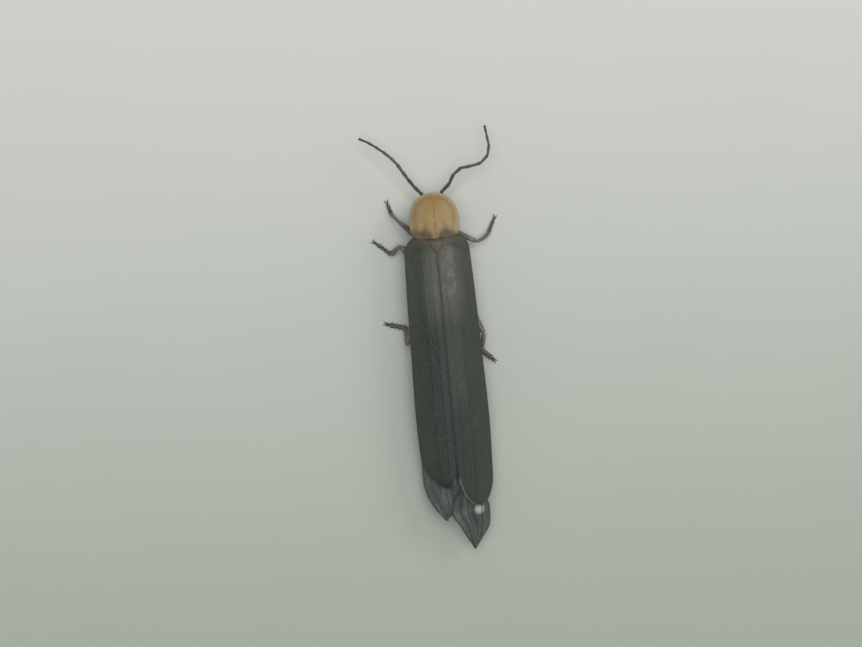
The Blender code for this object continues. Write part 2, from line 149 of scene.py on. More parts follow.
def curve_value(points, x):
    """A smooth curve through (x, y) points, read at x."""
    if x <= points[0][0]:
        return points[0][1]
    if x >= points[-1][0]:
        return points[-1][1]
    i = max(k for k in range(len(points) - 1) if points[k][0] <= x)

    def slope(k):
        low, high = max(k - 1, 0), min(k + 1, len(points) - 1)
        return (points[high][1] - points[low][1]) / (points[high][0] - points[low][0])

    (x0, y0), (x1, y1) = points[i], points[i + 1]
    run = x1 - x0
    u = (x - x0) / run
    start = (1 + 2 * u) * (1 - u) ** 2 * y0 + u * (1 - u) ** 2 * run * slope(i)
    end = u * u * (3 - 2 * u) * y1 + u * u * (u - 1) * run * slope(i + 1)
    return start + end


def back_height(back):
    """How high the line of the back runs."""
    if back < CREST_AT:
        return BACK_TOP - FRONT_DROP * ((CREST_AT - back) / FRONT_RUN) ** 2.2
    return BACK_TOP - TAIL_DROP * ((back - CREST_AT) / TAIL_RUN) ** 1.8


def ripple(place, size, seed):
    """A soft unevenness between -1 and 1 at the body place (back, side, up)."""
    return noise.noise(Vector(place) / size + Vector((seed, 0, 0)))


def path_through(points, steps):
    """Points read from a smooth curve through the given ones, steps to each stretch."""
    found = []
    for i in range(len(points) - 1):
        before, first = Vector(points[max(i - 1, 0)]), Vector(points[i])
        last, after = Vector(points[i + 1]), Vector(points[min(i + 2, len(points) - 1)])
        for k in range(steps):
            u = k / steps
            bend = 2 * before - 5 * first + 4 * last - after
            twist = 3 * first - before - 3 * last + after
            found.append(0.5 * (2 * first + (last - before) * u + bend * u**2 + twist * u**3))
    found.append(Vector(points[-1]))
    return found


class Wire:
    """One socket of a node. Arithmetic on it adds Math nodes to the socket's own tree."""

    def __init__(self, socket):
        self.socket = socket

    def out(self, name):
        """Another output of the same node."""
        found = [s for s in self.socket.node.outputs if s.name == name and s.enabled]
        return Wire(found[0])

    def math(self, operation, first, second):
        tree = Graph(self.socket.id_data)
        return tree.node("ShaderNodeMath", {"operation": operation}, {0: first, 1: second})

    def __add__(self, other):
        return self.math("ADD", self, other)

    def __radd__(self, other):
        return self.math("ADD", other, self)

    def __sub__(self, other):
        return self.math("SUBTRACT", self, other)

    def __rsub__(self, other):
        return self.math("SUBTRACT", other, self)

    def __mul__(self, other):
        return self.math("MULTIPLY", self, other)

    def __rmul__(self, other):
        return self.math("MULTIPLY", other, self)

    def __truediv__(self, other):
        return self.math("DIVIDE", self, other)

    def __rtruediv__(self, other):
        return self.math("DIVIDE", other, self)

    def __pow__(self, other):
        return self.math("POWER", self, other)

    def __abs__(self):
        return self.math("ABSOLUTE", self, 0.0)

    def __lt__(self, other):
        return self.math("LESS_THAN", self, other)

    def lowest(self, other):
        return self.math("MINIMUM", self, other)

    def highest(self, other):
        return self.math("MAXIMUM", self, other)


class Graph:
    """The nodes of one material or of one geometry tree."""

    def __init__(self, tree):
        self.tree = tree

    def node(self, kind, settings=None, values=None):
        """Adds a node: its settings first, then the values or links of its sockets."""
        made = self.tree.nodes.new(kind)
        for name, value in (settings or {}).items():
            setattr(made, name, value)
        for key, value in (values or {}).items():
            if isinstance(key, int):
                socket = made.inputs[key]
            else:
                socket = next(s for s in made.inputs if s.name == key and s.enabled)
            if isinstance(value, Wire):
                self.tree.links.new(value.socket, socket)
            else:
                socket.default_value = value
        outputs = [s for s in made.outputs if s.enabled]
        return Wire(outputs[0]) if outputs else None

    def vector(self, operation, first, second=(0.0, 0.0, 0.0), scale=1.0):
        values = {0: first, "Scale": scale} if operation == "SCALE" else {0: first, 1: second}
        return self.node("ShaderNodeVectorMath", {"operation": operation}, values)


class Growth(Graph):
    """A geometry tree: it has a mesh to start from, named inputs and a finish."""

    def __init__(self, name, **inputs):
        super().__init__(bpy.data.node_groups.new(name, "GeometryNodeTree"))
        sockets = self.tree.interface
        for title, kind in {"Geometry": "Geometry", **inputs, "Finish": "Material"}.items():
            sockets.new_socket(title, in_out="INPUT", socket_type="NodeSocket" + kind)
        sockets.new_socket("Geometry", in_out="OUTPUT", socket_type="NodeSocketGeometry")
        self.start = self.node("NodeGroupInput")

    def given(self, name):
        return self.start.out(name)

    def joined_vector(self, x, y, z=0.0):
        return self.node("ShaderNodeCombineXYZ", None, {"X": x, "Y": y, "Z": z})

    def named(self, name, kind="FLOAT"):
        """A value that the mesh carries."""
        return self.node("GeometryNodeInputNamedAttribute", {"data_type": kind}, {"Name": name})

    def stored(self, geometry, name, value, kind, domain="POINT"):
        """The geometry with the value stored on it under the name."""
        settings = {"data_type": kind, "domain": domain}
        values = {"Geometry": geometry, "Name": name, "Value": value}
        return self.node("GeometryNodeStoreNamedAttribute", settings, values)

    def chance(self, low, high, kind="FLOAT"):
        """A random value between low and high, one for each point."""
        values = {"Min": low, "Max": high, "Seed": self.given("Seed")}
        return self.node("FunctionNodeRandomValue", {"data_type": kind}, values)

    def planted(self, points, shape, way, size, **more):
        """The shape at each of the points, its top turned along the way."""
        turn = self.node("FunctionNodeAlignRotationToVector", {"axis": "Z"}, {"Vector": way})
        values = {"Points": points, "Instance": shape, "Rotation": turn, "Scale": size, **more}
        return self.real(self.node("GeometryNodeInstanceOnPoints", None, values))

    def real(self, geometry):
        return self.node("GeometryNodeRealizeInstances", None, {"Geometry": geometry})

    def ended(self, geometry):
        """Ends the tree: real geometry, its finish, and the way out."""
        values = {"Geometry": self.real(geometry), "Material": self.given("Finish")}
        dressed = self.node("GeometryNodeSetMaterial", None, values)
        self.node("NodeGroupOutput", None, {"Geometry": dressed})
        return self.tree


class Finish(Graph):
    """A material on a Principled shader, with the body's own places in millimetres."""

    def __init__(self, name, constants):
        self.material = bpy.data.materials.new(name)
        self.material.use_nodes = True
        super().__init__(self.material.node_tree)
        self.shader = self.tree.nodes["Principled BSDF"]
        for socket, value in constants.items():
            self.shader.inputs[socket].default_value = value
        self.place = self.node("ShaderNodeTexCoord").out("Object")
        self.fine = self.vector("SCALE", self.place, scale=1 / MM)
        parts = self.node("ShaderNodeSeparateXYZ", None, {0: self.place})
        self.side = (parts - AXIS_X) / MM
        self.back = (FRONT_Y - parts.out("Y")) / MM

    def feed(self, socket, wire):
        self.tree.links.new(wire.socket, self.shader.inputs[socket])

    def grain(self, size, detail=3.0, stretch=(1.0, 1.0, 1.0)):
        """Cloudy variation from 0 to 1, with patches about size millimetres across."""
        place = self.vector("MULTIPLY", self.fine, stretch)
        values = {"Vector": place, "Scale": 1 / size, "Detail": detail, "Roughness": 0.55}
        return self.node("ShaderNodeTexNoise", None, values)

    def cells(self, size):
        """Distance to the middle of the nearest cell, size millimetres across."""
        return self.node("ShaderNodeTexVoronoi", None, {"Vector": self.fine, "Scale": 1 / size})

    def step(self, wire, low, high):
        """0 below low, 1 above high, soft between. low may be above high."""
        values = {"Value": wire, "From Min": low, "From Max": high}
        return self.node("ShaderNodeMapRange", {"interpolation_type": "SMOOTHSTEP"}, values)

    def behind(self, low, high):
        """0 to 1 as the place goes back from low to high, or forth where low is above high."""
        return self.step(self.back, low, high)

    def beside(self, middle, low, high):
        """0 to 1 as the distance to the side of the middle goes from low to high."""
        return self.step(abs(self.side - middle), low, high)

    def blend(self, share, first, second):
        """The first colour where share is 0 and the second where it is 1."""
        colours = [c if isinstance(c, Wire) else (*c, 1.0) for c in (first, second)]
        values = {"Factor": share, "A": colours[0], "B": colours[1]}
        return self.node("ShaderNodeMix", {"data_type": "RGBA"}, values)

    def read(self, name):
        """A value that the piece's mesh carries at each point."""
        return self.node("ShaderNodeAttribute", {"attribute_name": name}).out("Fac")

    def relief(self, height, depth, under=None):
        """Raises the surface by height times depth, in millimetres, over any relief under it."""
        values = {"Height": height, "Strength": 1.0, "Distance": depth * MM}
        if under:
            values["Normal"] = under
        return self.node("ShaderNodeBump", None, values)

    def cover(self, share, colour):
        """Lays the colour over what is there, fully where share is 1."""
        self.colour = self.blend(share, self.colour, colour)

    def done(self, roughness=None, *reliefs):
        """The material, with what varies over it. A relief is a height and its depth."""
        self.feed("Base Color", self.colour)
        if roughness:
            self.feed("Roughness", roughness)
        normal = None
        for height, depth in reliefs:
            normal = self.relief(height, depth, normal)
        if normal:
            self.feed("Normal", normal)
        return self.material


def placed(name, data):
    """A new object that holds the data."""
    made = bpy.data.objects.new(name, data)
    bpy.context.scene.collection.objects.link(made)
    return made


def plain_mesh(piece):
    """The mesh that the piece's modifiers make of it."""
    graph = bpy.context.evaluated_depsgraph_get()
    return bpy.data.meshes.new_from_object(
        piece.evaluated_get(graph), preserve_all_data_layers=True, depsgraph=graph
    )


def turned_out(bm, closed):
    """Faces point outwards on a closed shape, and up on an open one."""
    bmesh.ops.recalc_face_normals(bm, faces=bm.faces)
    bm.normal_update()
    signed = bm.calc_volume(signed=True) if closed else sum(f.normal.z for f in bm.faces)
    if signed < 0:
        bmesh.ops.reverse_faces(bm, faces=bm.faces)


def skin(name, place, columns, rows, wrap=True, tile=(0, 0, 1, 1), marks=None):
    """A surface laid by place(u, v), u across or round and v along, both from 0 to 1.

    Its unwrap is the UV map Lie, inside tile. sweep holds the way along it at each point, and
    marks(u, v) gives the value of the attribute mark.
    """
    around = columns if wrap else columns + 1
    spots = [place(i / columns, j / rows) for j in range(rows + 1) for i in range(around)]
    faces, corners = [], []
    for j in range(rows):
        for i in range(columns):
            near = (i + 1) % around
            low, high = j * around, (j + 1) * around
            faces.append((low + i, low + near, high + near, high + i))
            corners.extend(((i, j), (i + 1, j), (i + 1, j + 1), (i, j + 1)))
    mesh = bpy.data.meshes.new(name)
    mesh.from_pydata(spots, [], faces)
    unwrap = mesh.uv_layers.new(name="Lie")
    left, low, right, high = tile
    for loop, (i, j) in zip(unwrap.data, corners):
        loop.uv = (left + (right - left) * i / columns, low + (high - low) * j / rows)
    mesh.attributes.new("sweep", "FLOAT_VECTOR", "POINT")
    mesh.attributes.new("mark", "FLOAT", "POINT")
    sweep, mark = mesh.attributes["sweep"], mesh.attributes["mark"]
    for j in range(rows + 1):
        first, last = max(j - 1, 0), min(j + 1, rows)
        for i in range(around):
            way = spots[last * around + i] - spots[first * around + i]
            sweep.data[j * around + i].vector = way.normalized()
            if marks:
                mark.data[j * around + i].value = marks(i / columns, j / rows)
    bm = bmesh.new()
    bm.from_mesh(mesh)
    bmesh.ops.remove_doubles(bm, verts=bm.verts, dist=WELD)
    turned_out(bm, wrap)
    bm.to_mesh(mesh)
    bm.free()
    mesh.shade_smooth()
    return placed(name, mesh)


def walled(piece, thickness):
    """Gives an open surface its thickness, in millimetres, grown inwards."""
    wall = piece.modifiers.new("Wall", "SOLIDIFY")
    wall.thickness = thickness * MM
    wall.offset = -1
    mesh = plain_mesh(piece)
    piece.modifiers.clear()
    piece.data = mesh
    return piece


def edge_round(distance, radius):
    """0 at an edge, rising to 1 like a quarter circle."""
    return math.sqrt(max(1 - (1 - min(max(distance / radius, 0), 1)) ** 2, 0))


def rounded(v, cap):
    """0 at both ends and 1 between, round over the share cap of the length."""
    return edge_round(min(v, 1 - v), cap)


def egg(name, centre, radii, columns=24, rows=16, tile=(0, 0, 1, 1)):
    """An ellipsoid with its poles in front and behind. centre and radii go back, side, up."""

    def place(u, v):
        turn, tilt = 2 * math.pi * u, math.pi * v
        return spot(
            centre[0] - radii[0] * math.cos(tilt),
            centre[1] + radii[1] * math.sin(tilt) * math.cos(turn),
            centre[2] + radii[2] * math.sin(tilt) * math.sin(turn),
        )

    return skin(name, place, columns, rows, tile=tile)


def limb(name, stops, girths, columns=16, rows=20, flat=1.0, cap=0.12, tile=(0, 0, 1, 1)):
    """A closed tube through the stops. girths are (share of its length, radius) pairs.

    flat is its height over its width.
    """
    line = [spot(*point) for point in path_through(stops, 6)]
    ways = [(b - a).normalized() for a, b in zip(line, line[1:])]
    ways.append(ways[-1])
    across = ways[0].cross(Vector((0, 0, 1)))
    if across.length < 0.1:
        across = Vector((1, 0, 0))
    frames = []
    for way in ways:
        across = (across - way * across.dot(way)).normalized()
        frames.append((across, way.cross(across)))

    def place(u, v):
        share = 0.5 - 0.5 * math.cos(math.pi * v)
        run = share * (len(line) - 1)
        k = min(int(run), len(line) - 2)
        centre = line[k].lerp(line[k + 1], run - k)
        wide, high = (a.lerp(b, run - k) for a, b in zip(frames[k], frames[k + 1]))
        radius = curve_value(girths, share) * rounded(share, cap) * MM
        turn = 2 * math.pi * u
        return centre + wide * radius * math.cos(turn) + high * radius * flat * math.sin(turn)

    return skin(name, place, columns, rows, tile=tile)


def coated(piece, finish):
    """The piece in this finish alone."""
    piece.data.materials.clear()
    piece.data.materials.append(finish)
    return piece


def joined(name, parts):
    """One object from several, each part keeping its finish and unwrap."""
    parts = list(parts)
    if len(parts) > 1:
        with bpy.context.temp_override(
            active_object=parts[0], selected_objects=parts, selected_editable_objects=parts
        ):
            bpy.ops.object.join()
    parts[0].name = name
    parts[0].data.name = name
    return parts[0]


class Parts(list):
    """The parts of one piece, each on its own strip of the unwrap."""

    def __init__(self, count):
        self.count = count

    def add(self, make, *values, **settings):
        """Makes the next part, of at most count."""
        strip = (len(self) / self.count, 0.0, (len(self) + STRIP_FILL) / self.count, 1.0)
        self.append(make(*values, tile=strip, **settings))


def settled(piece, slot, *nodes):
    """The piece is finished: it rides on the body and stands for its nodes. slot is not used."""
    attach(piece, "root")
    if nodes:
        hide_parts(*nodes)
    return piece


def grown(name, mesh, tree, **values):
    """A plain mesh object that the tree makes from a copy of the mesh."""
    carrier = placed(name + "_carrier", mesh.copy())
    growth = carrier.modifiers.new("Growth", "NODES")
    growth.node_group = tree
    for item in tree.interface.items_tree:
        if item.in_out == "INPUT" and item.name in values:
            growth[item.identifier] = values[item.name]
    made = plain_mesh(carrier)
    carrier.modifiers.remove(growth)
    bpy.data.objects.remove(carrier)
    made.name = name
    return placed(name, made)


def line_mesh(name, points):
    """An open chain of edges through the points, for a tree to follow."""
    mesh = bpy.data.meshes.new(name)
    mesh.from_pydata(points, [(i, i + 1) for i in range(len(points) - 1)], [])
    return mesh


def down_tree():
    """Short hairs rooted on a skin, leaning along its sweep, each with its patch of the unwrap."""
    sizes = dict.fromkeys(("Density", "Length", "Width", "Lift", "Scatter"), "Float")
    graph = Growth("Down", **sizes, Seed="Int")
    roots = graph.node(
        "GeometryNodeDistributePointsOnFaces",
        {"distribute_method": "RANDOM"},
        {"Mesh": graph.start, "Density": graph.given("Density"), "Seed": graph.given("Seed")},
    )
    rise = graph.vector("SCALE", roots.out("Normal"), scale=graph.given("Lift"))
    stray = graph.chance((-1.0, -1.0, -1.0), (1.0, 1.0, 1.0), "FLOAT_VECTOR")
    stray = graph.vector("SCALE", stray, scale=graph.given("Scatter"))
    way = graph.vector("ADD", graph.named("sweep", "FLOAT_VECTOR"), rise)
    way = graph.vector("ADD", way, stray)
    blade = graph.node(
        "GeometryNodeMeshCone",
        {"fill_type": "NGON"},
        {"Vertices": 3, "Side Segments": 1, "Radius Top": 0.0, "Radius Bottom": 0.5, "Depth": 1.0},
    )
    width = graph.given("Width")
    size = graph.joined_vector(width, width, graph.chance(0.6, 1.15) * graph.given("Length"))
    hairs = graph.planted(roots, blade, way, size)
    above = graph.vector("MAXIMUM", graph.node("GeometryNodeInputPosition"), (-1.0, -1.0, 0.0))
    hairs = graph.node("GeometryNodeSetPosition", None, {"Geometry": hairs, "Position": above})
    patch = graph.vector("SCALE", blade.out("UV Map"), scale=HAIR_PATCH)
    patch = graph.vector("ADD", graph.named("Lie", "FLOAT_VECTOR"), patch)
    return graph.ended(graph.stored(hairs, "OFBake", patch, "FLOAT2", "CORNER"))


def facet_tree():
    """A ball of six-sided lenses, each raised a little, stretched and put in its place."""
    graph = Growth("Facets", Centre="Vector", Radii="Vector", Rise="Float", Lens="Float")
    ball = graph.node("GeometryNodeMeshIcoSphere", None, {"Radius": 1.0, "Subdivisions": 5})
    net = graph.node("GeometryNodeDualMesh", None, {"Mesh": ball})
    raised = graph.node(
        "GeometryNodeExtrudeMesh",
        {"mode": "FACES"},
        {"Mesh": net, "Offset Scale": graph.given("Rise"), "Individual": True},
    )
    lenses = graph.node(
        "GeometryNodeScaleElements",
        {"domain": "FACE"},
        {"Geometry": raised, "Selection": raised.out("Top"), "Scale": graph.given("Lens")},
    )
    values = {"Translation": graph.given("Centre"), "Scale": graph.given("Radii")}
    return graph.ended(graph.node("GeometryNodeTransform", None, {"Geometry": lenses, **values}))


def joint_tree():
    """Feeler joints strung on a line, each widest near its far end, thinning along the line."""
    graph = Growth("Feeler", Joints="Int", Width="Float", Tip="Float")
    count, first, last = (graph.given(name) for name in ("Joints", "Width", "Tip"))
    curve = graph.node("GeometryNodeMeshToCurve", None, {"Mesh": graph.start})
    values = {"Curve": curve, "Count": count + 1.0}
    beads = graph.node("GeometryNodeCurveToPoints", {"mode": "COUNT"}, values)
    index = graph.node("GeometryNodeInputIndex")
    place = graph.node("GeometryNodeInputPosition")
    cylinder = graph.node(
        "GeometryNodeMeshCylinder",
        {"fill_type": "NGON"},
        {"Vertices": 16, "Side Segments": 12, "Radius": 0.5, "Depth": 1.0},
    )
    rise = graph.node("ShaderNodeSeparateXYZ", None, {0: place}).out("Z") + 0.5
    foot = (1 - rise * 8.0).highest(0.0)
    neck = ((rise - 0.86) * 7.0).highest(0.0)
    girth = (0.74 + 0.3 * rise) * (1 - 0.35 * foot * foot) * (1 - 0.45 * neck * neck)
    profile = graph.vector("MULTIPLY", place, graph.joined_vector(girth, girth, 1.0))
    values = {"Geometry": cylinder, "Position": profile, "Offset": (0.0, 0.0, 0.5)}
    shaped = graph.node("GeometryNodeSetPosition", None, values)
    after = graph.node(
        "GeometryNodeFieldAtIndex",
        {"data_type": "FLOAT_VECTOR", "domain": "POINT"},
        {"Value": place, "Index": index + 1},
    )
    reach = graph.vector("SUBTRACT", after, place)
    beads = graph.stored(beads, "sweep", graph.vector("NORMALIZE", reach), "FLOAT_VECTOR")
    beads = graph.stored(beads, "mark", index, "FLOAT")
    broad = first + (last - first) * (index / count)
    size = graph.joined_vector(broad, broad, graph.vector("LENGTH", reach) * JOINT_OVERLAP)
    strung = graph.planted(beads, shaped, reach, size, Selection=index < count)
    squeeze = graph.joined_vector(STRIP_FILL / count, 1.0)
    strip = graph.vector("MULTIPLY", cylinder.out("UV Map"), squeeze)
    strip = graph.vector("ADD", strip, graph.joined_vector(graph.named("mark") / count, 0.0))
    unwrapped = graph.stored(strung, "Lie", strip, "FLOAT2", "CORNER")
    return graph.ended(graph.node("GeometryNodeSetShadeSmooth", None, {"Geometry": unwrapped}))


def vein_tree():
    """A round vein along a line, thinning to its end."""
    graph = Growth("Vein", Width="Float")
    curve = graph.node("GeometryNodeMeshToCurve", None, {"Mesh": graph.start})
    girth = graph.given("Width") * (1 - 0.6 * graph.node("GeometryNodeSplineParameter"))
    ring = graph.node("GeometryNodeCurvePrimitiveCircle", None, {"Resolution": 8, "Radius": 0.5})
    values = {"Curve": curve, "Profile Curve": ring, "Scale": girth, "Fill Caps": True}
    return graph.ended(graph.node("GeometryNodeCurveToMesh", None, values))


def shield_finish(look):
    """Waxy amber, paler at the see-through rim, with a brown band and two patches behind."""
    finish = Finish(
        "shield_amber",
        {
            "IOR": 1.5,
            "Subsurface Weight": 0.25,
            "Subsurface Radius": (0.9, 0.45, 0.15),
            "Subsurface Scale": 0.00025,
        },
    )
    rim = finish.read("mark")
    cloud = finish.grain(0.35, detail=4)
    speck = finish.grain(0.05, detail=2)
    wide = abs(finish.side)
    finish.colour = finish.blend(finish.step(wide, 0.1, 0.75) * 0.55, look.amber, look.rim)
    finish.cover(finish.step(rim + cloud * 0.06, 0.88, 0.99), look.rim)
    ring = finish.step(rim + cloud * 0.05, 0.74, 0.85) * finish.step(rim + cloud * 0.05, 0.97, 0.89)
    ring = ring * finish.behind(1.5, 0.7)
    finish.cover(ring * 0.5, look.ring)
    edge = finish.back + cloud * 0.3 - finish.side * 0.1
    band = finish.step(edge, 1.5, 1.88) * (0.7 + 0.5 * cloud)
    patch = finish.step(abs(wide - 0.42) + abs(finish.back - 1.6) * 0.8 + cloud * 0.3, 0.55, 0.2)
    finish.cover(band.highest(patch * 0.9).lowest(1.0), look.band)
    heart = finish.step(wide + abs(finish.back - 1.6) * 0.4 + cloud * 0.08, 0.31, 0.15)
    finish.cover(heart, look.heart)
    deep = finish.step(wide + abs(finish.back - 0.85) * 0.8 + cloud * 0.3, 0.95, 0.2)
    finish.cover(deep * 0.6, look.deep)
    line = finish.step(wide, 0.035, 0.012) * finish.behind(0.4, 0.8)
    finish.cover(line * 0.25, look.ring)
    finish.cover(finish.step(speck, 0.62, 0.8) * 0.25, look.ring)
    pits = finish.step(finish.cells(0.045), 0.15, 0.42)
    return finish.done(0.38 + 0.16 * cloud, (pits, 0.006), (speck, 0.004))


def plate_finish(look):
    """The small plate behind the shield, pinkish in front and brown towards its point."""
    finish = Finish("plate_horn", {"IOR": 1.5})
    cloud = finish.grain(0.12, detail=4)
    rear = finish.step(finish.back + cloud * 0.15, 2.0, 2.25)
    finish.colour = finish.blend(rear * 0.7, look.plate, (0.08, 0.075, 0.05))
    return finish.done(0.4 + 0.2 * cloud, (finish.cells(0.04), 0.006))


def case_finish(look):
    """Charcoal horn, finely wrinkled, painted sheen greying the disc, a pale end to the right case."""
    finish = Finish("wing_case_horn", {"IOR": 1.52, "Specular IOR Level": 0.5})
    cloud = finish.grain(0.9, detail=5, stretch=(1.0, 0.35, 1.0))
    wrinkle = finish.grain(0.07, detail=3, stretch=(1.0, 0.55, 1.0))
    finish.colour = finish.blend(finish.step(cloud, 0.35, 0.7), look.horn, look.horn_worn)
    mottle = finish.grain(0.4, detail=4)
    # Painted light: a grey sheen that is brighter towards the front, where more light falls, and a
    # painted highlight streak along the right disc; the outer margins are painted paler too, more so
    # in front
    front = finish.beside(0.2, 1.5, 0.25)
    front = front * finish.behind(2.0, 2.5) * finish.behind(6.2, 3.8)
    strip = finish.beside(0.3, 0.75, 0.0) * finish.behind(9.2, 7.6) * 0.3
    outer = finish.beside(0.0, 0.55, 1.05) * (0.26 + 0.3 * finish.behind(6.5, 2.5))
    painted_sheen = front.highest(strip).highest(outer) * (0.6 + 0.7 * mottle)
    finish.cover(painted_sheen.lowest(1.0), look.painted_sheen)
    fleck = finish.step(finish.grain(0.42, detail=5), 0.36, 0.74) * finish.behind(5.0, 3.6)
    fleck = fleck * finish.beside(0.45, 0.4, 0.1) * finish.behind(2.05, 2.3)
    finish.cover(fleck * 0.42, look.fleck)
    root = finish.step(finish.back + abs(finish.side) * 0.35 + cloud * 0.3, 2.7, 2.15)
    finish.cover(root * 0.8, look.root)
    rim = finish.read("mark")
    tail = finish.behind(11.3, 11.6) * finish.beside(0.25, 0.75, 0.4)
    pale = finish.step(rim + cloud * 0.08, 0.66, 0.98)
    finish.cover(pale * tail * 0.7, look.tail_line)
    finish.cover(pale * (1 - tail) * 0.3, look.horn_worn)
    bumps = finish.step(finish.cells(0.055), 0.5, 0.1)
    return finish.done(0.56 + 0.2 * cloud, (wrinkle, 0.012), (bumps, 0.006))


def membrane_finish(look):
    """Smoky wing skin, finely pleated, with a soft sheen."""
    finish = Finish("wing_membrane", {"IOR": 1.45, "Sheen Weight": 0.2, "Sheen Roughness": 0.4})
    cloud = finish.grain(0.5, detail=5, stretch=(1.6, 0.5, 1.0))
    crease = finish.grain(0.08, detail=3, stretch=(2.5, 0.3, 1.0))
    finish.colour = finish.blend(finish.step(cloud, 0.35, 0.7), look.smoke, look.smoke_pale)
    finish.cover(finish.step(finish.side, -0.3, -0.9) * 0.5, look.smoke_pale)
    off = ((finish.side - 0.72) ** 2 + (finish.back - 12.76) ** 2) ** 0.5
    finish.cover(finish.step(off + cloud * 0.1, 0.33, 0.1), look.white_spot)
    return finish.done(0.32 + 0.25 * cloud, (crease, 0.02))


def horn_finish(name, dark, light, pit=0.05, rings=None):
    """Brown-black horn of legs, head and underside, finely pitted, lighter where it is thin.

    rings is where the first plate of a row begins and how long each is: they have pale margins.
    """
    finish = Finish(name, {"IOR": 1.52, "Coat Weight": 0.15, "Coat Roughness": 0.3})
    cloud = finish.grain(0.25, detail=4)
    net = finish.cells(pit)
    finish.colour = finish.blend(finish.step(cloud, 0.35, 0.72), dark, light)
    finish.cover(finish.step(net, 0.55, 0.9) * 0.3, light)
    if rings:
        run = (finish.back - rings[0]) / rings[1]
        run = finish.node("ShaderNodeMath", {"operation": "FRACT"}, {0: run})
        margin = finish.step(run, 0.74, 0.93) * finish.step(run, 1.0, 0.96)
        finish.cover(margin * 0.7, tuple(c * 1.9 for c in light))
        finish.cover(finish.step(run, 0.1, 0.0) * 0.8, tuple(c * 0.5 for c in dark))
    grain = finish.grain(0.02, detail=2)
    return finish.done(0.36 + 0.22 * cloud, (net, 0.006), (grain, 0.003))


def lantern_finish(look):
    """Pale waxy plates below and dark ones above, the two light-giving rings of the belly."""
    finish = Finish(
        "lantern_wax",
        {
            "IOR": 1.45,
            "Subsurface Weight": 0.35,
            "Subsurface Radius": (0.8, 0.7, 0.35),
            "Subsurface Scale": 0.0003,
        },
    )
    cloud = finish.grain(0.2, detail=4)
    fat = finish.cells(0.07)
    finish.colour = finish.blend(finish.step(cloud, 0.3, 0.7), look.lantern, look.lantern_deep)
    finish.cover(finish.step(fat, 0.5, 0.9) * 0.25, look.lantern_deep)
    top = finish.step(finish.read("mark") + cloud * 0.1, -0.1, 0.06)
    finish.cover(top, look.plate)
    return finish.done(0.34 + 0.16 * cloud, (fat, 0.004))


def down_finish(name, root, tip):
    """Hair with a little variation from one to the next."""
    finish = Finish(name, {"Roughness": 0.45, "IOR": 1.5})
    shade = finish.grain(0.15, detail=2)
    finish.colour = finish.blend(finish.step(shade, 0.3, 0.7), root, tip)
    return finish.done()


def eye_finish():
    """Near-black lenses with a brown depth between them."""
    finish = Finish("eye_black", {"IOR": 1.55, "Coat Weight": 0.6, "Coat Roughness": 0.08})
    cloud = finish.grain(0.12, detail=3)
    finish.colour = finish.blend(cloud, (0.012, 0.009, 0.007), (0.035, 0.022, 0.014))
    return finish.done(0.16 + 0.1 * cloud)


def tint(name, description, default):
    """A colour, as red, green and blue."""
    return bpy.props.FloatVectorProperty(
        name=name, description=description, subtype="COLOR", size=3, min=0, max=1, default=default
    )


def span(name, description, default):
    """A length in metres, given in millimetres."""
    return bpy.props.FloatProperty(
        name=name, description=description, unit="LENGTH", subtype="DISTANCE", default=default * MM
    )


class ShieldSettings(bpy.types.PropertyGroup):
    """The shield over the head."""

    amber: tint("Amber", "Colour of the middle", (0.4, 0.262, 0.1))
    rim: tint("Rim", "Colour of the see-through rim", (0.46, 0.345, 0.21))
    ring: tint("Ring", "Darker line just inside the rim", (0.24, 0.165, 0.075))
    band: tint("Band", "Brown patches at the rear", (0.15, 0.116, 0.07))
    heart: tint("Rear middle", "Pinkish spot between the patches", (0.34, 0.245, 0.15))
    deep: tint("Deep amber", "Colour at the shield's very middle", (0.34, 0.215, 0.06))
    plate: tint("Middle plate", "Colour of the small triangle behind", (0.122, 0.102, 0.07))
    rim_rise: span("Rim rise", "How far the rim turns up", 0.04)


class CaseSettings(bpy.types.PropertyGroup):
    """The two wing cases."""

    horn: tint("Horn", "Main colour", (0.024, 0.032, 0.026))
    horn_worn: tint("Worn horn", "Colour of its lighter clouds", (0.037, 0.047, 0.039))
    # Painted light: grey sheen for light on the front of the cases, and a painted highlight along the
    # discs
    painted_sheen: tint("Painted sheen", "Grey bloom on the front and the discs", (0.108, 0.114, 0.092))
    fleck: tint("Flecks", "Pale flecks behind the right shoulder", (0.26, 0.255, 0.23))
    root: tint("Root", "Brown at the roots of the wing cases", (0.128, 0.108, 0.073))
    tail_line: tint("End line", "Pale line at the right case's end", (0.2, 0.18, 0.15))
    thickness: span("Thickness", "Thickness of the horn", 0.07)
    rib_rise: span("Rib rise", "Height of the lengthwise ribs", 0.022)


class HindWingSettings(bpy.types.PropertyGroup):
    """The folded hind wings."""

    smoke: tint("Smoke", "Main colour of the membrane", (0.066, 0.083, 0.076))
    smoke_pale: tint("Pale smoke", "Lighter clouds", (0.115, 0.137, 0.124))
    white_spot: tint("Spot", "Small white spot behind the right case", (0.5, 0.52, 0.48))
    vein: tint("Vein", "Colour of the veins", (0.022, 0.024, 0.022))
    vein_width: span("Vein width", "Width of a main vein", 0.06)
    thickness: span("Thickness", "Thickness of the membrane", 0.03)


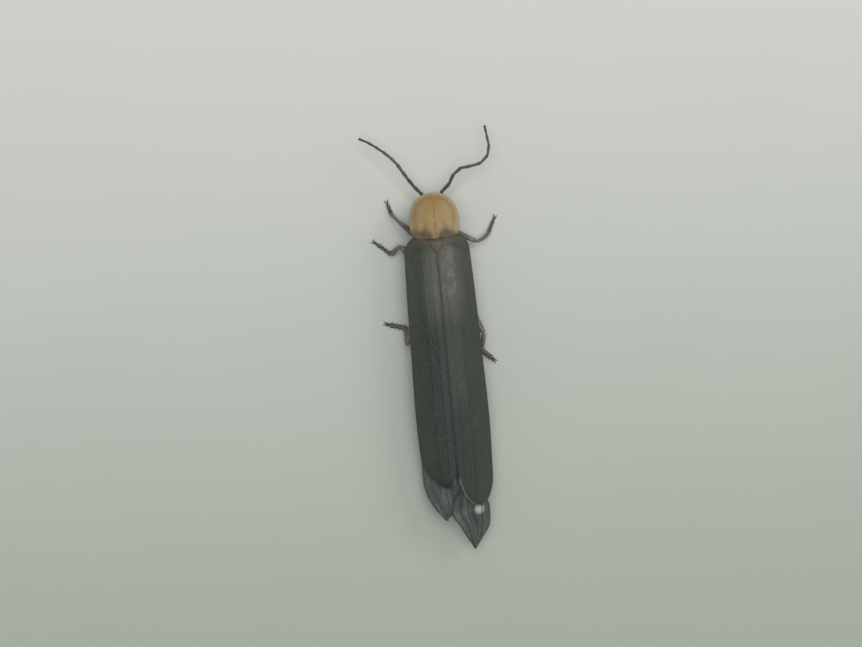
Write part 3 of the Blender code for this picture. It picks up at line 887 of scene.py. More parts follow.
class BodySettings(bpy.types.PropertyGroup):
    """Head, underside, belly and limbs."""

    dark: tint("Dark horn", "Darkest horn", (0.03, 0.025, 0.02))
    light: tint("Light horn", "Lighter horn", (0.085, 0.068, 0.05))
    feeler_dark: tint("Feeler", "Main colour of the feelers", (0.055, 0.052, 0.045))
    feeler_light: tint("Feeler light", "Lighter parts of the feelers", (0.12, 0.113, 0.095))
    foot_dark: tint("Foot", "Main colour of the feet", (0.06, 0.056, 0.045))
    leg_dark: tint("Leg", "Main colour of the legs", (0.13, 0.12, 0.095))
    leg_light: tint("Leg light", "Lighter parts of the legs", (0.25, 0.228, 0.18))
    lantern: tint("Lantern", "Pale plates of the light organ", (0.74, 0.7, 0.5))
    lantern_deep: tint("Lantern depth", "Their deeper tint", (0.6, 0.55, 0.33))
    plate: tint("Back plate", "Plates over the light organ", (0.05, 0.04, 0.03))
    plate_step: span("Plate step", "How far a belly plate overlaps the next", 0.08)
    feeler_width: span("Feeler width", "Width of a feeler's first joints", 0.155)
    feeler_joints: bpy.props.IntProperty(
        name="Feeler joints", description="Joints beyond the first two", default=9, min=3, max=20
    )


class DownSettings(bpy.types.PropertyGroup):
    """The short hair."""

    hair: tint("Hair", "Hair of wing cases, legs and belly", (0.1, 0.1, 0.088))
    gold: tint("Golden hair", "Hair of the shield", (0.5, 0.38, 0.2))
    length: span("Length", "Length of the hair on the wing cases", 0.1)
    width: span("Width", "Width of a hair at its root", 0.008)
    seed: bpy.props.IntProperty(name="Seed", description="Starts the random draws", default=7)


class StageSettings(bpy.types.PropertyGroup):
    """Floor, light and camera."""

    # Painted shade: the floor's colour darkens from the head's side to the tail's, for light that
    # falls off
    floor: tint("Floor", "Colour of the floor before the head", (0.77, 0.775, 0.745))
    floor_rear_painted_shade: tint("Rear floor", "Its colour behind the tail", (0.435, 0.485, 0.415))
    lens: bpy.props.FloatProperty(
        name="Lens", description="Focal length", subtype="DISTANCE_CAMERA", default=100.0, min=1.0
    )
    key: bpy.props.FloatProperty(
        name="Key light", description="Power of the soft light", unit="POWER", default=0.5, min=0.0
    )


SETTINGS = {
    "firefly_shield": ShieldSettings,
    "firefly_cases": CaseSettings,
    "firefly_wings": HindWingSettings,
    "firefly_body": BodySettings,
    "firefly_down": DownSettings,
    "firefly_stage": StageSettings,
}


def shield_outline(turn):
    """How far the shield's edge lies from its middle, turn going round from its right."""
    reach, power = (SHIELD_FRONT, 2.2) if math.sin(turn) > 0 else (SHIELD_REAR, 4.5)
    wide = abs(math.cos(turn) / SHIELD_HALF_WIDTH) ** power
    deep = abs(math.sin(turn) / reach) ** power
    return (wide + deep) ** (-1 / power)


def shield_plate(rim_rise):
    """The shield: a domed disc with a groove inside its turned-up rim."""

    def place(u, v):
        turn, tilt = 2 * math.pi * u, math.pi * v
        out = math.sin(tilt) ** 0.7
        radius = shield_outline(turn) * out
        rearward = max(-math.sin(turn), 0) ** 3
        crown = 1 - (out * (1 - 0.32 * rearward)) ** 3
        back = SHIELD_FRONT - radius * math.sin(turn)
        side = radius * math.cos(turn)
        if v > 0.5:
            groove = 0.05 * bell(out, 0.8, 0.07) * (1 - rearward)
            seam = 0.03 * bell(side, 0, 0.05) * smooth(out, 0.05, 0.3) * smooth(back, 0.3, 0.8)
            dents = 0.05 * bell(abs(side), 0.42, 0.16) * bell(back, 1.3, 0.16)
            lift = SHIELD_DOME * crown + 0.03 - groove - seam - dents
            lift += rim_rise / MM * smooth(out, 0.86, 1.0) * (1 - rearward)
            lift += 0.006 * ripple((back, side, 0), 0.12, 3)
        else:
            lift = -0.1 * crown - 0.02
        return spot(back, side, SHIELD_RIM_UP + lift)

    return skin("shield", place, 144, 96, marks=lambda u, v: math.sin(math.pi * v) ** 0.7)


def add_hip(parts, stops, girth, ball, columns=16, rows=20):
    """A hip, and the ball at its end that the leg turns on."""
    back, side, up = stops[-1]
    centre = (back, side + math.copysign(0.02, side), up)
    parts.add(limb, "hip", stops, girth, columns, rows)
    parts.add(egg, "hinge", centre, (ball, ball + 0.01, ball), 16, 12)


def front_trunk():
    """The underside of the front trunk, with the two front hips and the neck."""

    def place(u, v):
        wide, high = squarish(2 * math.pi * u, 0.8)
        girth = math.sin(math.pi * v) ** 0.6
        ridge = 0.03 * bell(wide, 0, 0.2) * (high < 0)
        return spot(
            BREAST[0] - BREAST_RADII[0] * math.cos(math.pi * v),
            BREAST_RADII[1] * girth * wide,
            BREAST[2] + (BREAST_RADII[2] + ridge) * girth * high,
        )

    parts = Parts(6)
    parts.add(skin, "breast", place, 48, 32)
    neck = [(1.35, 0, 1.15), (1.1, 0, 1.12), (0.95, 0, 1.12)]
    parts.add(limb, "neck", neck, [(0, 0.24), (1, 0.24)], 24, 12, cap=0.05)
    for side, _ in SIDES:
        stops = [(1.56, side * 0.1, 0.72), (1.58, side * 0.4, 0.66), (1.6, side * 0.78, 0.68)]
        add_hip(parts, stops, [(0, 0.15), (0.4, 0.18), (1, 0.12)], 0.12)
    return joined("front_trunk", parts)


def head_capsule(dark):
    """Skull, forehead, feeler sockets, jaws and mouth feelers."""

    def place(u, v):
        turn, tilt = 2 * math.pi * u, math.pi * v
        wide, high = math.cos(turn), math.sin(turn)
        girth = math.sin(tilt) ** 0.8
        back = HEAD[0] - HEAD_RADII[0] * math.cos(tilt)
        side = HEAD_RADII[1] * girth * wide
        up = HEAD[2] + HEAD_RADII[2] * girth * high
        dent = 0.05 * bell(side, 0, 0.12) * bell(back, 0.5, 0.16) * (high > 0)
        hollow = 0.06 * bell(abs(side), 0.2, 0.1) * bell(back, 0.42, 0.1)
        return spot(back + hollow, side, up - dent + 0.008 * ripple((back, side, up), 0.1, 5))

    def add_chain(name, stops, girths, columns, rows):
        for start, end, girth in zip(stops, stops[1:], girths):
            parts.add(limb, name, [start, end], girth, columns, rows)

    parts = Parts(24)
    parts.add(skin, "skull", place, 64, 48)
    parts.add(egg, "mouth_plate", (0.45, 0, 0.92), (0.12, 0.24, 0.1))
    parts.add(egg, "lip", (0.37, 0, 0.83), (0.09, 0.15, 0.05))
    for side, _ in SIDES:
        ring = []
        for k in range(14):
            turn = k * math.tau / 12
            ring.append(
                (
                    SOCKET[0] + 0.04 * side * math.cos(turn),
                    side * SOCKET[1] + SOCKET_RADIUS * math.cos(turn),
                    SOCKET[2] + SOCKET_RADIUS * math.sin(turn),
                )
            )
        parts.add(limb, "socket", ring, [(0, 0.022), (1, 0.022)], 8, 40)
        jaw = [(0.46, 0.2, 0.9), (0.34, 0.2, 0.82), (0.26, 0.1, 0.78), (0.27, -0.02, 0.76)]
        jaw = [(back, side * out, up) for back, out, up in jaw]
        parts.add(limb, "jaw", jaw, [(0, 0.055), (0.5, 0.045), (1, 0.012)], rows=24)
        palp = [(0.52, side * 0.2, 0.86), (0.44, side * 0.33, 0.78), (0.36, side * 0.38, 0.68)]
        palp += [(0.3, side * 0.36, 0.56), (0.26, side * 0.3, 0.46)]
        girths = [[(0, 0.035), (0.7, 0.05 + 0.006 * k), (1, 0.035 + 0.008 * k)] for k in range(4)]
        add_chain("palp", palp, girths, 12, 14)
        small = [(0.56, side * 0.08, 0.8), (0.5, side * 0.12, 0.7), (0.45, side * 0.12, 0.6)]
        add_chain("small_palp", small, [[(0, 0.025), (0.7, 0.035), (1, 0.028)]] * 2, 10, 12)
    return coated(joined("head_capsule", parts), dark)


FEELER_PATHS = {
    "left": (
        (0.47, -0.23, 1.13), (0.04, -0.36, 1.13), (-0.1, -0.47, 1.17), (-0.35, -0.68, 1.25),
        (-0.85, -1.01, 1.35), (-1.38, -1.33, 1.4), (-1.84, -1.79, 1.4), (-2.24, -2.31, 1.3),
        (-2.46, -2.7, 1.2),
    ),
    "right": (
        (0.47, 0.23, 1.13), (0.04, 0.36, 1.13), (-0.1, 0.5, 1.17), (-0.31, 0.74, 1.25),
        (-0.75, 1.01, 1.35), (-0.94, 1.4, 1.4), (-0.94, 1.86, 1.4), (-1.1, 2.2, 1.4),
        (-1.36, 2.41, 1.4), (-1.81, 2.48, 1.35), (-2.23, 2.4, 1.25), (-2.51, 2.38, 1.2),
    ),
}


def feeler(name, path, look, finish, tree):
    """A first long joint, a short second one, and the thread of joints beyond."""
    line = path_through(path, 8)
    root_end, ring_end = 9, 13
    stops = [tuple(line[k]) for k in (0, root_end // 2, root_end, ring_end)]
    girth = [(0, 0.06), (0.3, 0.075), (0.8, 0.1), (1, 0.09)]
    root = limb("root", stops[:3], girth, tile=(0, 0.5, 0.4, 1))
    girth = [(0, 0.06), (0.6, 0.085), (1, 0.075)]
    ring = limb("ring", stops[2:], girth, rows=14, tile=(0.5, 0.5, 0.9, 1))
    thread = grown(
        "thread",
        line_mesh("thread", [spot(*point) for point in line[ring_end:]]),
        tree,
        Joints=look.feeler_joints,
        Width=look.feeler_width,
        Tip=look.feeler_width * 0.6,
        Finish=finish,
    )
    return joined(name, [thread, coated(root, finish), coated(ring, finish)])


def middle_plate():
    """The small triangle between the roots of the wing cases."""

    def place(u, v):
        share = 2 * u - 1
        run = 1 - (1 - v) ** 1.3
        wide = PLATE_HALF_WIDTH * math.sqrt(max(1 - run**1.6, 0.0)) + 0.004
        side = wide * share
        back = PLATE_FRONT + PLATE_LENGTH * run
        keel = 0.02 * bell(side, 0, 0.07)
        swell = 0.05 * (1 - share**2) * (1 - 0.6 * run)
        fall = 0.06 * (1 - smooth(back, PLATE_FRONT, PLATE_FRONT + 0.15))
        return spot(back, side, back_height(back) - 0.01 + swell + keel - fall)

    return walled(skin("middle_plate", place, 32, 32, wrap=False), 0.09)


def case_width(back):
    """How far out the edge of a wing case lies, behind its shoulder."""
    return curve_value([(2.3, 1.32), (4, 1.38), (6, 1.42), (9, 1.48), (11.2, 1.42)], back)


def case_edges(side, v):
    """back, inner edge, outer edge and how far the end has turned, at share v of the length."""
    tail_from, tail, middle = CASE_TAILS[side]
    body = tail_from - CASE_FRONT
    run = v * (body + tail)
    if run < body:
        back = CASE_FRONT + run
        ahead = min(max(SHOULDER_END - back, 0) / SHOULDER_LENGTH, 1)
        outer = case_width(back) - SHOULDER_TURN_IN * (1 - math.sqrt(1 - ahead**2))
        notch = PLATE_NOTCH * max(1 - (back - PLATE_FRONT) / PLATE_LENGTH, 0) ** 0.8
        return back, CASE_SEAM + notch, outer, 0.0
    turn = (run - body) / tail * CASE_TIP_TURN
    outer = middle + (case_width(tail_from) - middle) * math.cos(turn)
    inner = middle - (middle - CASE_SEAM) * math.cos(turn)
    return tail_from + tail * math.sin(turn), inner, outer, 1 - math.cos(turn)


def wing_case(name, side, look):
    """One wing case: ribs, beads along its edges, a shoulder knob and a folded outer edge."""

    def place(u, v):
        back, inner, outer, ending = case_edges(side, v)
        width = outer - inner
        share = min(u / (1 - FOLD), 1.0)
        under = max(u - (1 - FOLD), 0) / FOLD
        out = inner + width * share
        calm = smooth(v, 0.03, 0.1) * (1 - smooth(v, 0.88, 0.97))
        lift = -CASE_DROP * (out / case_width(back)) ** 3 - 0.2 * ending**2
        for k, rib in enumerate(RIBS):
            lift += look.rib_rise / MM * (1 - 0.2 * k) * bell(share, rib, RIB_WIDTH) * calm
        lift += 0.03 * bell(out - inner, 0.0, 0.045) + 0.035 * bell(outer - out, 0.0, 0.04)
        lift -= 0.03 * bell(outer - out, 0.12, 0.05)
        lift += 0.06 * bell(out, 0.98, 0.16) * bell(back, 2.5, 0.35)
        lift -= 0.04 * (1 - smooth(back, CASE_FRONT, CASE_FRONT + 0.26))
        place_mm = (back, out, lift)
        lift += 0.012 * ripple(place_mm, 0.22, side) + 0.006 * ripple(place_mm, 0.07, side + 9)
        out -= 0.14 * under * (1 - ending)
        lift -= 0.05 * math.sin(under * math.pi / 2)
        return spot(back, side * out, back_height(back) + lift)

    def rim(u, v):
        _, inner, outer, _ = case_edges(side, v)
        share = min(u / (1 - FOLD), 1.0)
        out = inner + (outer - inner) * share
        near = min(out - inner, outer - out)
        if v > 0.9:
            near = min(near, (1 - v) * 8)
        return max(1 - near / 0.25, 0)

    return walled(skin(name, place, 72, 260, wrap=False, marks=rim), look.thickness / MM)


# Each hind wing's inner and outer edge, as (back, side) points, and where its tip lies
WING_EDGES = {
    "left": (
        (
            (11, -0.14), (12.0, -0.1), (12.4, -0.04), (12.7, 0.12), (12.87, 0.32), (13.0, 0.5),
            (13.12, 0.6),
        ),
        (
            (10.2, 0.9), (10.6, 1.36), (11.0, 1.43), (11.6, 1.43), (12.1, 1.32), (12.5, 1.12),
            (12.73, 0.97), (12.95, 0.8), (13.12, 0.64),
        ),
        13.12,
    ),
    "right": (
        (
            (11, 0.05), (11.9, 0.02), (12.4, -0.28), (12.87, -0.4), (13.35, -0.14), (13.87, 0.12),
            (14.36, 0.39),
        ),
        (
            (11, 0.5), (11.6, 0.5), (12.1, 0.85), (12.5, 1.12), (12.93, 1.15), (13.47, 1.08),
            (13.9, 0.79), (14.36, 0.43),
        ),
        14.36,
    ),
}
VEIN_SHARES = (0.04, 0.24, 0.42, 0.58, 0.78, 0.96)


def wing_place(name, side, share, along, layer):
    """A point of the folded hind wing. layer 0 is the top fold, 1 the one tucked under it.

    It nests under its case, and past the case's end it flattens and droops. The left one passes
    under the right one where they cross.
    """
    inner, outer, tip = WING_EDGES[name]
    tail_from, tail, _ = CASE_TAILS[side]
    back = WING_FROM + (tip - FOLD_SHORT * layer - WING_FROM) * along**0.8
    low, high = curve_value(inner, back), curve_value(outer, back)
    wide = high - low
    out = low + 0.06 * layer * wide + wide * (1 - 0.12 * layer) * share
    pleat = math.sin(share * math.pi * PLEATS + 0.6 * math.sin(back * 2.1)) * smooth(back, 11.3, 12.4)
    droop = WING_DIP * smooth(back, tail_from, tail_from + tail)
    droop += 0.42 * (max(back - 11.8, 0) / 2.5) ** 1.4
    if side < 0:
        droop += 0.16 * smooth(out, 0.55, 0.15)
    flat = 1 - 0.35 * smooth(back, 11.3, 12.8)
    sag = CASE_DROP * flat * (abs(out) / case_width(back)) ** 3 + FOLD_APART * layer
    wave = 0.035 * ripple((back, out, 0), 0.5, 4 + side) + 0.012 * ripple((back, out, 0), 0.16, side)
    up = back_height(back) - WING_DEPTH - sag - droop + 0.028 * pleat + wave
    return spot(back, side * out, up)


def hind_wing(name, side, look, membrane, vein, tree):
    """Two folds of membrane and the veins that run along them."""
    parts = []
    for layer in (0, 1):

        def place(u, v, layer=layer):
            return wing_place(name, side, u, v, layer)

        tile = (0.5 * layer, 0, 0.5 * layer + 0.48, 1)
        sheet = skin("fold", place, 40, 150, wrap=False, tile=tile)
        parts.append(coated(walled(sheet, look.thickness / MM), membrane))
    for share in VEIN_SHARES:
        points = [wing_place(name, side, share, k / VEIN_STEPS, 0) for k in range(VEIN_STEPS - 1)]
        line = line_mesh("vein", points)
        parts.append(grown("vein", line, tree, Width=look.vein_width, Finish=vein))
    return joined("folded_wing_" + name, parts)


def rear_trunk():
    """The underside that carries the wings and two pairs of legs, with its hips."""

    def place(u, v):
        back = TRUNK_FRONT + (TRUNK_REAR - TRUNK_FRONT) * (0.5 - 0.5 * math.cos(math.pi * v))
        top = back_height(back) - 0.55
        half_width = 0.62 + 0.05 * (back - TRUNK_FRONT)
        bottom = 0.62 + 0.22 * smooth(back, 2.4, TRUNK_FRONT) - 0.1 * smooth(back, 2.9, 3.6)
        girth = rounded(v, 0.16)
        wide, high = squarish(2 * math.pi * u, SQUARE)
        side = half_width * girth * wide
        level, reach = (top + bottom) / 2, (top - bottom) / 2
        under = smooth(-high, 0.2, 0.8)
        keel = 0.05 * bell(side, 0, 0.035) * under * smooth(back, 3.0, 3.3)
        seam = 0.04 * (bell(back, 2.95, 0.04) + bell(back, 4.15, 0.04)) * under
        flank = 0.03 * bell(high, -0.15, 0.1) + 0.02 * bell(high, 0.35, 0.08)
        up = level + reach * girth * high + keel + seam
        return spot(back, side - math.copysign(flank, side), up)

    parts = Parts(9)
    parts.add(skin, "trunk", place, 96, 120)
    for back, lean in HIP_BACKS:
        for side, _ in SIDES:
            stops = [(back - lean, side * 0.08, 0.6), (back - lean / 2, side * 0.45, 0.5)]
            stops.append((back, side * 0.93, 0.62))
            add_hip(parts, stops, [(0, 0.16), (0.4, 0.21), (1, 0.13)], 0.13, 20, 24)
    return joined("rear_trunk", parts)


BELLY_WIDTHS = (
    (4.6, 0.66), (5.5, 0.9), (7.0, 1.07), (8.5, 1.12), (10.0, 0.98), (11.0, 0.8), (11.6, 0.66),
    (12.1, 0.5), (12.45, 0.24),
)
BELLY_BOTTOMS = ((4.6, 0.45), (6, 0.1), (7, 0.0), (10.5, 0.0), (12, 0.12), (12.45, 0.2))
# How far its side margins and its flat top lie below the line of the back
BELLY_MARGINS = ((4.6, 1.25), (6, 1.15), (10.5, 1.15), (11.5, 1.3), (12.1, 1.5), (12.45, 1.8))
BELLY_TOPS = ((4.6, 0.7), (6, 0.66), (10.5, 0.66), (11.5, 0.85), (12.1, 1.2), (12.45, 1.55))
TUCK = 0.3  # how far each part of the belly reaches into the one before


def belly_part(name, start, end, plates, step):
    """A stretch of the belly: plates that overlap like tiles, back plates with sharp margins."""

    def place(u, v):
        back = start - TUCK + (end - start + TUCK) * v
        line = back_height(back)
        half_width, bottom = curve_value(BELLY_WIDTHS, back), curve_value(BELLY_BOTTOMS, back)
        margin, top = line - curve_value(BELLY_MARGINS, back), line - curve_value(BELLY_TOPS, back)
        run = max((back - start) / (end - start) * plates, 0)
        share = run - math.floor(min(run, plates - 1e-6))
        fall = smooth(share, 0.94, 1.0) * (run < plates - 0.01)
        step_up = step / MM * (smooth(share, 0.0, 0.75) - fall)
        girth = edge_round(back - start + TUCK, TUCK) * edge_round(end - back, 0.07)
        wide, high = squarish(2 * math.pi * u, SQUARE)
        groove = 0.07 * bell(high, -0.14, 0.1) - 0.03 * bell(high, 0.06, 0.08)
        side = (half_width + step_up - groove) * girth * wide
        reach = (top - margin if high > 0 else margin - bottom) + step_up * (high > 0)
        up = margin + reach * girth * high
        dimple = 0.02 * bell(abs(side), half_width * 0.6, 0.12) * bell(share, 0.4, 0.2) * (high < 0)
        up += dimple + 0.006 * ripple((back, side, up), 0.15, 2)
        return spot(back, side, max(up, 0.0))

    return skin(name, place, 112, 34 * plates + 8, marks=lambda u, v: math.sin(2 * math.pi * u))


# Hip, knee, ankle and toe of each leg
LEG_STOPS = {
    "foreleg_left": ((1.6, -0.8, 0.68), (1.0, -1.42, 1.05), (0.64, -1.69, 0.3), (0.17, -1.82, 0.07)),
    "foreleg_right": ((1.6, 0.8, 0.68), (2.08, 1.66, 0.75), (1.77, 2.15, 0.28), (1.17, 2.45, 0.07)),
    "midleg_left": ((2.7, -0.95, 0.62), (1.98, -1.42, 0.75), (2.27, -1.82, 0.28), (1.71, -2.48, 0.07)),
    "midleg_right": ((2.7, 0.95, 0.62), (3.4, 1.2, 0.72), (3.8, 1.24, 0.28), (4.15, 1.25, 0.07)),
    "hindleg_left": ((4.4, -0.95, 0.62), (5.95, -1.54, 0.88), (5.3, -1.5, 0.3), (5.06, -2.3, 0.07)),
    "hindleg_right": ((4.4, 0.95, 0.62), (5.78, 1.57, 0.88), (6.42, 1.4, 0.28), (6.9, 1.9, 0.07)),
}
# How thick each pair of legs and its feet are, in shares of the radii below
LEG_GIRTHS = {"foreleg": (0.62, 0.85), "midleg": (0.76, 0.9), "hindleg": (0.88, 1.2)}
THIGH = ((0, 0.09), (0.2, 0.14), (0.5, 0.17), (0.85, 0.13), (1, 0.1))
SHIN = ((0, 0.085), (0.15, 0.1), (0.6, 0.115), (0.95, 0.125), (1, 0.1))
FOOT = ((0.1, 0.8), (0.094, 0.8), (0.092, 0.75), (0.1, 0.55), (0.066, 0.8))  # radius, flatness


def leg(name, stops, sizes, horn, foot_horn):
    """Thigh, shin with two spurs, a foot of five joints and a pair of hooked claws."""
    hip, knee, ankle, toe = (Vector(stop) for stop in stops)
    side = math.copysign(1, hip.y)
    root = hip + Vector((0.0, 0.1 * side, -0.02))
    bow = (root + knee) / 2 + Vector((0, -0.05 * side, 0.05))
    thigh, shin = ([(at, sizes[0] * radius) for at, radius in girth] for girth in (THIGH, SHIN))
    bend = (knee + ankle) / 2 + (knee - root).normalized() * 0.04
    parts = Parts(12)
    parts.add(limb, "hinge", [hip, root], [(0, 0.1), (0.5, 0.13), (1, 0.1)], 16, 14)
    parts.add(limb, "thigh", [root, bow, knee], thigh, 20, 30, 0.8)
    parts.add(limb, "shin", [knee, bend, ankle], shin, 18, 30, 0.85, cap=0.06)
    foot = [ankle.lerp(toe, k / len(FOOT)) for k in range(len(FOOT) + 1)]
    for k, point in enumerate(foot):
        point.z = toe.z + (ankle.z - toe.z) * (1 - k / len(FOOT)) ** 2.2
    forward = (foot[-1] - foot[-2]).normalized()
    across = forward.cross(Vector((0, 0, 1))).normalized()
    for way in (-1, 1):
        spur = [ankle, ankle + forward * 0.12 + across * way * 0.1 - Vector((0, 0, 0.03))]
        parts.add(limb, "spur", spur, [(0, 0.03), (1, 0.006)], 8, 8)
    for start, end, (radius, flat) in zip(foot, foot[1:], FOOT):
        broad = sizes[1] * radius
        girth = [(0, 0.045), (0.4, broad * 0.75), (0.85, broad), (1, broad * 0.8)]
        parts.add(limb, "foot", [start, end], girth, 14, 16, flat, 0.1)
    for way in (-1, 1):
        claw = [
            toe + across * way * 0.02,
            toe + forward * 0.09 + across * way * 0.05 + Vector((0, 0, 0.01)),
            toe + forward * 0.15 + across * way * 0.07 - Vector((0, 0, 0.055)),
        ]
        parts.add(limb, "claw", claw, [(0, 0.024), (0.6, 0.016), (1, 0.004)], 8, 12)
    for k, part in enumerate(parts):
        coated(part, horn if k < 3 else foot_horn)
    return joined(name, parts)


# Each coat of down: its skins, hue, hairs to a square metre, size, lift off the skin and slot
CASE_DOWN = ("grey", 1.6e8, 1.0, 0.35, "wing_cases")
FEELER_DOWN = ("grey", 9e8, 0.5, 0.7, "feelers")
LEG_DOWN = ("grey", 5e8, 0.55, 0.5, "legs")
COATS = {
    **{"wing_case_" + name: (("wing_case_" + name,), *CASE_DOWN) for _, name in SIDES},
    **{"feeler_" + name: (("feeler_" + name,), *FEELER_DOWN) for _, name in SIDES},
    **{name: ((name + "_horn",), *LEG_DOWN) for name in LEG_STOPS},
    "shield": (("shield",), "gold", 1.8e8, 0.6, 0.3, "shield"),
    "belly": (("belly_plates", "belly_end"), "grey", 1.2e8, 0.7, 0.35, "underside"),
    "lantern": (("lantern_plates",), "gold", 0.6e8, 0.6, 0.35, "light_organ"),
    "trunk": (("front_trunk", "rear_trunk"), "grey", 1.2e8, 0.6, 0.4, "underside"),
    "head": (("head_capsule",), "grey", 3e8, 0.4, 0.6, "head"),
}


def coat(name, skins, tree, slot, **values):
    """Down on the skins of the given names, as one piece."""
    parts = [grown(name, bpy.data.objects[skin_name].data, tree, **values) for skin_name in skins]
    return settled(joined(name, parts), slot)


def soft_light(name, place, size, power, colour=(1.0, 1.0, 1.0)):
    """A square lamp that looks at the middle of the model."""
    lamp = bpy.data.lights.new(name, "AREA")
    lamp.shape = "SQUARE"
    lamp.size = size
    lamp.energy = power
    lamp.color = colour
    holder = placed(name, lamp)
    holder.location = place
    holder.rotation_euler = (-Vector(place)).to_track_quat("-Z", "Y").to_euler()


class FIREFLY_OT_shield(bpy.types.Operator):
    """Makes the shield over the head, the underside of the front trunk and the middle plate"""

    bl_idname = "firefly.shield"
    bl_label = "Shield"

    def execute(self, context):
        look = context.scene.firefly_shield
        body = context.scene.firefly_body
        amber = shield_finish(look)
        settled(coated(shield_plate(look.rim_rise), amber), "shield", "pronotum")
        horn = horn_finish("front_horn", body.dark, body.light)
        settled(coated(front_trunk(), horn), "head")
        settled(coated(middle_plate(), plate_finish(look)), "shield", "scutellum")
        return {"FINISHED"}


class FIREFLY_OT_head(bpy.types.Operator):
    """Makes the head with its jaws, palps and faceted eyes"""

    bl_idname = "firefly.head"
    bl_label = "Head"

    def execute(self, context):
        body = context.scene.firefly_body
        horn = horn_finish("head_horn", body.dark, body.light, 0.035)
        settled(head_capsule(horn), "head", "head")
        black, tree = eye_finish(), facet_tree()
        seed = line_mesh("eye_seed", [spot(1, 0, 1), spot(1, 0, 1.1)])
        for side, name in SIDES:
            lenses = grown(
                "eye_" + name + "_lenses",
                seed,
                tree,
                Centre=spot(EYE[0], side * EYE[1], EYE[2]),
                Radii=Vector(EYE_RADII) * MM,
                Rise=0.012,
                Lens=0.74,
                Finish=black,
            )
            settled(lenses, "eyes", "eye_" + name)
        return {"FINISHED"}


class FIREFLY_OT_feelers(bpy.types.Operator):
    """Makes the two feelers, joint by joint"""

    bl_idname = "firefly.feelers"
    bl_label = "Feelers"

    def execute(self, context):
        body = context.scene.firefly_body
        horn = horn_finish("feeler_horn", body.feeler_dark, body.feeler_light, 0.03)
        tree = joint_tree()
        for _, name in SIDES:
            piece = feeler("feeler_" + name, FEELER_PATHS[name], body, horn, tree)
            settled(piece, "feelers", "antenna_" + name)
        return {"FINISHED"}


class FIREFLY_OT_wing_cases(bpy.types.Operator):
    """Makes the two wing cases"""

    bl_idname = "firefly.wing_cases"
    bl_label = "Wing cases"

    def execute(self, context):
        look = context.scene.firefly_cases
        horn = case_finish(look)
        for side, name in SIDES:
            piece = wing_case("wing_case_" + name, side, look)
            settled(coated(piece, horn), "wing_cases", "elytron_" + name)
        return {"FINISHED"}


class FIREFLY_OT_hind_wings(bpy.types.Operator):
    """Makes the folded hind wings with their veins"""

    bl_idname = "firefly.hind_wings"
    bl_label = "Hind wings"

    def execute(self, context):
        look = context.scene.firefly_wings
        membrane = membrane_finish(look)
        vein = horn_finish("vein_horn", look.vein, look.smoke, 0.04)
        tree = vein_tree()
        for side, name in SIDES:
            piece = hind_wing(name, side, look, membrane, vein, tree)
            settled(piece, "hind_wings", "hindwing_" + name)
        return {"FINISHED"}


class FIREFLY_OT_belly(bpy.types.Operator):
    """Makes the rear trunk and the belly with its light organ"""

    bl_idname = "firefly.belly"
    bl_label = "Trunk and belly"

    def execute(self, context):
        look = context.scene.firefly_body
        horn = horn_finish("trunk_horn", look.dark, look.light)
        settled(coated(rear_trunk(), horn), "underside", "thorax")
        step = look.plate_step
        rings = (BELLY_FROM, (LANTERN_FROM - BELLY_FROM) / 4)
        horn = horn_finish("belly_horn", look.dark, look.light, rings=rings)
        belly = belly_part("belly_plates", BELLY_FROM, LANTERN_FROM, 4, step)
        settled(coated(belly, horn), "underside", "abdomen")
        lantern = belly_part("lantern_plates", LANTERN_FROM, LANTERN_TO, 2, step)
        settled(coated(lantern, lantern_finish(look)), "light_organ", "light_organ")
        tip = belly_part("belly_end", LANTERN_TO, BELLY_TAIL, 1, step)
        settled(coated(tip, horn), "underside", "abdomen_tip")
        return {"FINISHED"}


class FIREFLY_OT_legs(bpy.types.Operator):
    """Makes the six legs"""

    bl_idname = "firefly.legs"
    bl_label = "Legs"

    def execute(self, context):
        look = context.scene.firefly_body
        horn = horn_finish("leg_horn", look.leg_dark, look.leg_light, 0.04)
        foot_horn = horn_finish("foot_horn", look.foot_dark, look.leg_dark, 0.04)
        for name, stops in LEG_STOPS.items():
            sizes = LEG_GIRTHS[name.split("_")[0]]
            settled(leg(name + "_horn", stops, sizes, horn, foot_horn), "legs", name)
        return {"FINISHED"}


class FIREFLY_OT_down(bpy.types.Operator):
    """Grows the short hair on head, shield, wing cases, trunk, belly, legs and feelers"""

    bl_idname = "firefly.down"
    bl_label = "Down"

    def execute(self, context):
        look = context.scene.firefly_down
        tree = down_tree()
        hues = {
            "grey": down_finish("grey_down", look.hair, tuple(c * 1.6 for c in look.hair)),
            "gold": down_finish("golden_down", look.gold, tuple(c * 0.7 for c in look.gold)),
        }
        for k, (name, (skins, hue, density, size, lift, slot)) in enumerate(COATS.items()):
            coat(
                name + "_down",
                skins,
                tree,
                slot,
                Density=density,
                Length=look.length * size,
                Width=look.width * (0.6 + 0.4 * size),
                Lift=lift,
                Scatter=0.22,
                Seed=look.seed + k,
                Finish=hues[hue],
            )
        return {"FINISHED"}


# The photo's frame, in pixels, and the shield's front and the body's lean in it
PHOTO_WIDTH = 862
PHOTO_HEIGHT = 647
SHIELD_FRONT_PIXEL = (431.4, 193.0)
MM_TO_A_PIXEL = 0.04
LEAN = math.atan2(0.0946, 0.9955)
FOCUS_UP = 1.6

# The stage, in metres, but for where the floor's painted shade runs, in millimetres behind the
# shield's front
FLOOR_SIZE = 0.6
FLOOR_SHADE = (-13.0, 25.0)
SKY_LAMP = ((0.015, 0.02, 0.3), 0.2)
SIDE_LAMP = ((0.16, 0.08, 0.16), 0.1)
ROOM_COLOUR, ROOM_LIGHT = (0.93, 1.0, 0.95, 1.0), 0.24


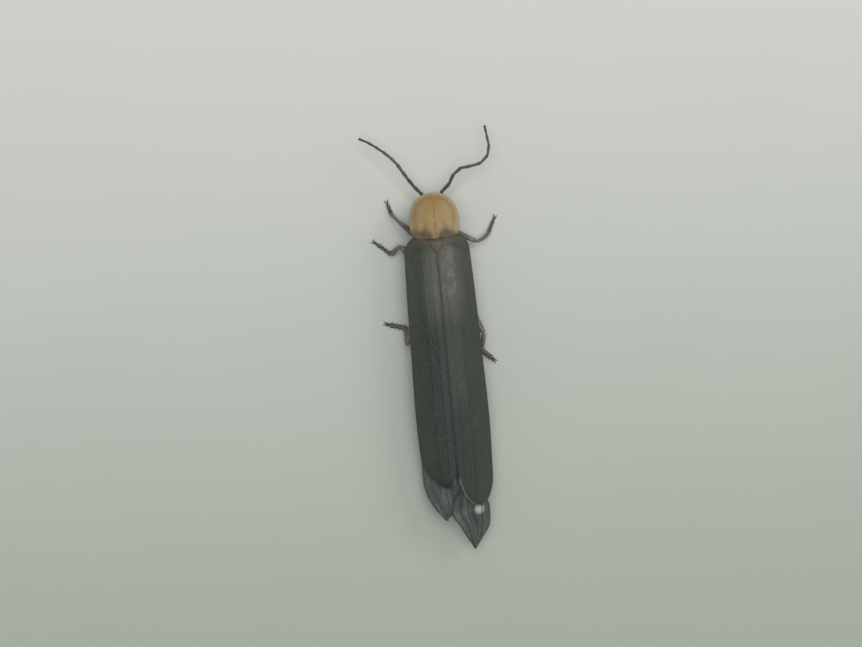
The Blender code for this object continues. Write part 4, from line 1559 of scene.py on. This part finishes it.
class FIREFLY_OT_stage(bpy.types.Operator):
    """Sets the pale floor, the soft light and the camera straight above"""

    bl_idname = "firefly.stage"
    bl_label = "Stage"

    def execute(self, context):
        look = context.scene.firefly_stage
        scene = context.scene
        finish = Finish("floor_matt", {"Roughness": 0.85, "Specular IOR Level": 0.2})
        # Painted shade: the floor is painted darker towards the rear, for light that falls off along
        # it
        share = finish.step(finish.back + finish.grain(6.0, detail=3) * 2.0, *FLOOR_SHADE)
        finish.colour = finish.blend(share, look.floor, look.floor_rear_painted_shade)
        bpy.ops.mesh.primitive_plane_add(size=FLOOR_SIZE)
        floor = context.active_object
        floor.name = "floor"
        coated(floor, finish.done())
        soft_light("sky_lamp", *SKY_LAMP, look.key)
        soft_light("side_lamp", *SIDE_LAMP, look.key * 0.2, (1.0, 0.98, 0.94))
        world = bpy.data.worlds.new("pale_room")
        world.use_nodes = True
        background = world.node_tree.nodes["Background"]
        background.inputs["Color"].default_value = ROOM_COLOUR
        background.inputs["Strength"].default_value = ROOM_LIGHT
        scene.world = world
        scene.view_settings.view_transform = "Standard"

        camera = bpy.data.cameras.new("camera")
        camera.lens = look.lens
        camera.sensor_width = 36.0
        camera.clip_start = 0.001
        camera.clip_end = 2.0
        across = PHOTO_WIDTH / 2 - SHIELD_FRONT_PIXEL[0]
        down = PHOTO_HEIGHT / 2 - SHIELD_FRONT_PIXEL[1]
        back = (across * math.sin(LEAN) + down * math.cos(LEAN)) * MM_TO_A_PIXEL
        side = (across * math.cos(LEAN) - down * math.sin(LEAN)) * MM_TO_A_PIXEL
        distance = PHOTO_WIDTH * MM_TO_A_PIXEL * look.lens / camera.sensor_width
        scene.camera = placed("camera", camera)
        stand = Matrix.Translation(spot(back, side, FOCUS_UP + distance))
        scene.camera.matrix_world = stand @ Matrix.Rotation(-LEAN, 4, "Z")
        return {"FINISHED"}


MAKERS = (
    FIREFLY_OT_shield,
    FIREFLY_OT_head,
    FIREFLY_OT_feelers,
    FIREFLY_OT_wing_cases,
    FIREFLY_OT_hind_wings,
    FIREFLY_OT_belly,
    FIREFLY_OT_legs,
    FIREFLY_OT_down,
    FIREFLY_OT_stage,
)


class FIREFLY_PT_pieces(bpy.types.Panel):
    """Lists what makes the firefly"""

    bl_idname = "FIREFLY_PT_pieces"
    bl_label = "Firefly"
    bl_space_type = "VIEW_3D"
    bl_region_type = "UI"
    bl_category = "Firefly"

    def draw(self, context):
        for maker in MAKERS:
            self.layout.operator(maker.bl_idname)
        for name, group in SETTINGS.items():
            box = self.layout.box()
            settings = getattr(context.scene, name)
            for title in group.__annotations__:
                box.prop(settings, title)


def register():
    for group in (*SETTINGS.values(), *MAKERS, FIREFLY_PT_pieces):
        bpy.utils.register_class(group)
    for name, group in SETTINGS.items():
        setattr(bpy.types.Scene, name, bpy.props.PointerProperty(type=group))


def unregister():
    for name in SETTINGS:
        delattr(bpy.types.Scene, name)
    for group in reversed((*SETTINGS.values(), *MAKERS, FIREFLY_PT_pieces)):
        bpy.utils.unregister_class(group)


def main():
    register()
    bpy.ops.firefly.shield()
    bpy.ops.firefly.head()
    bpy.ops.firefly.feelers()
    bpy.ops.firefly.wing_cases()
    bpy.ops.firefly.hind_wings()
    bpy.ops.firefly.belly()
    bpy.ops.firefly.legs()
    bpy.ops.firefly.down()
    bpy.ops.firefly.stage()


if __name__ == "__main__":
    main()
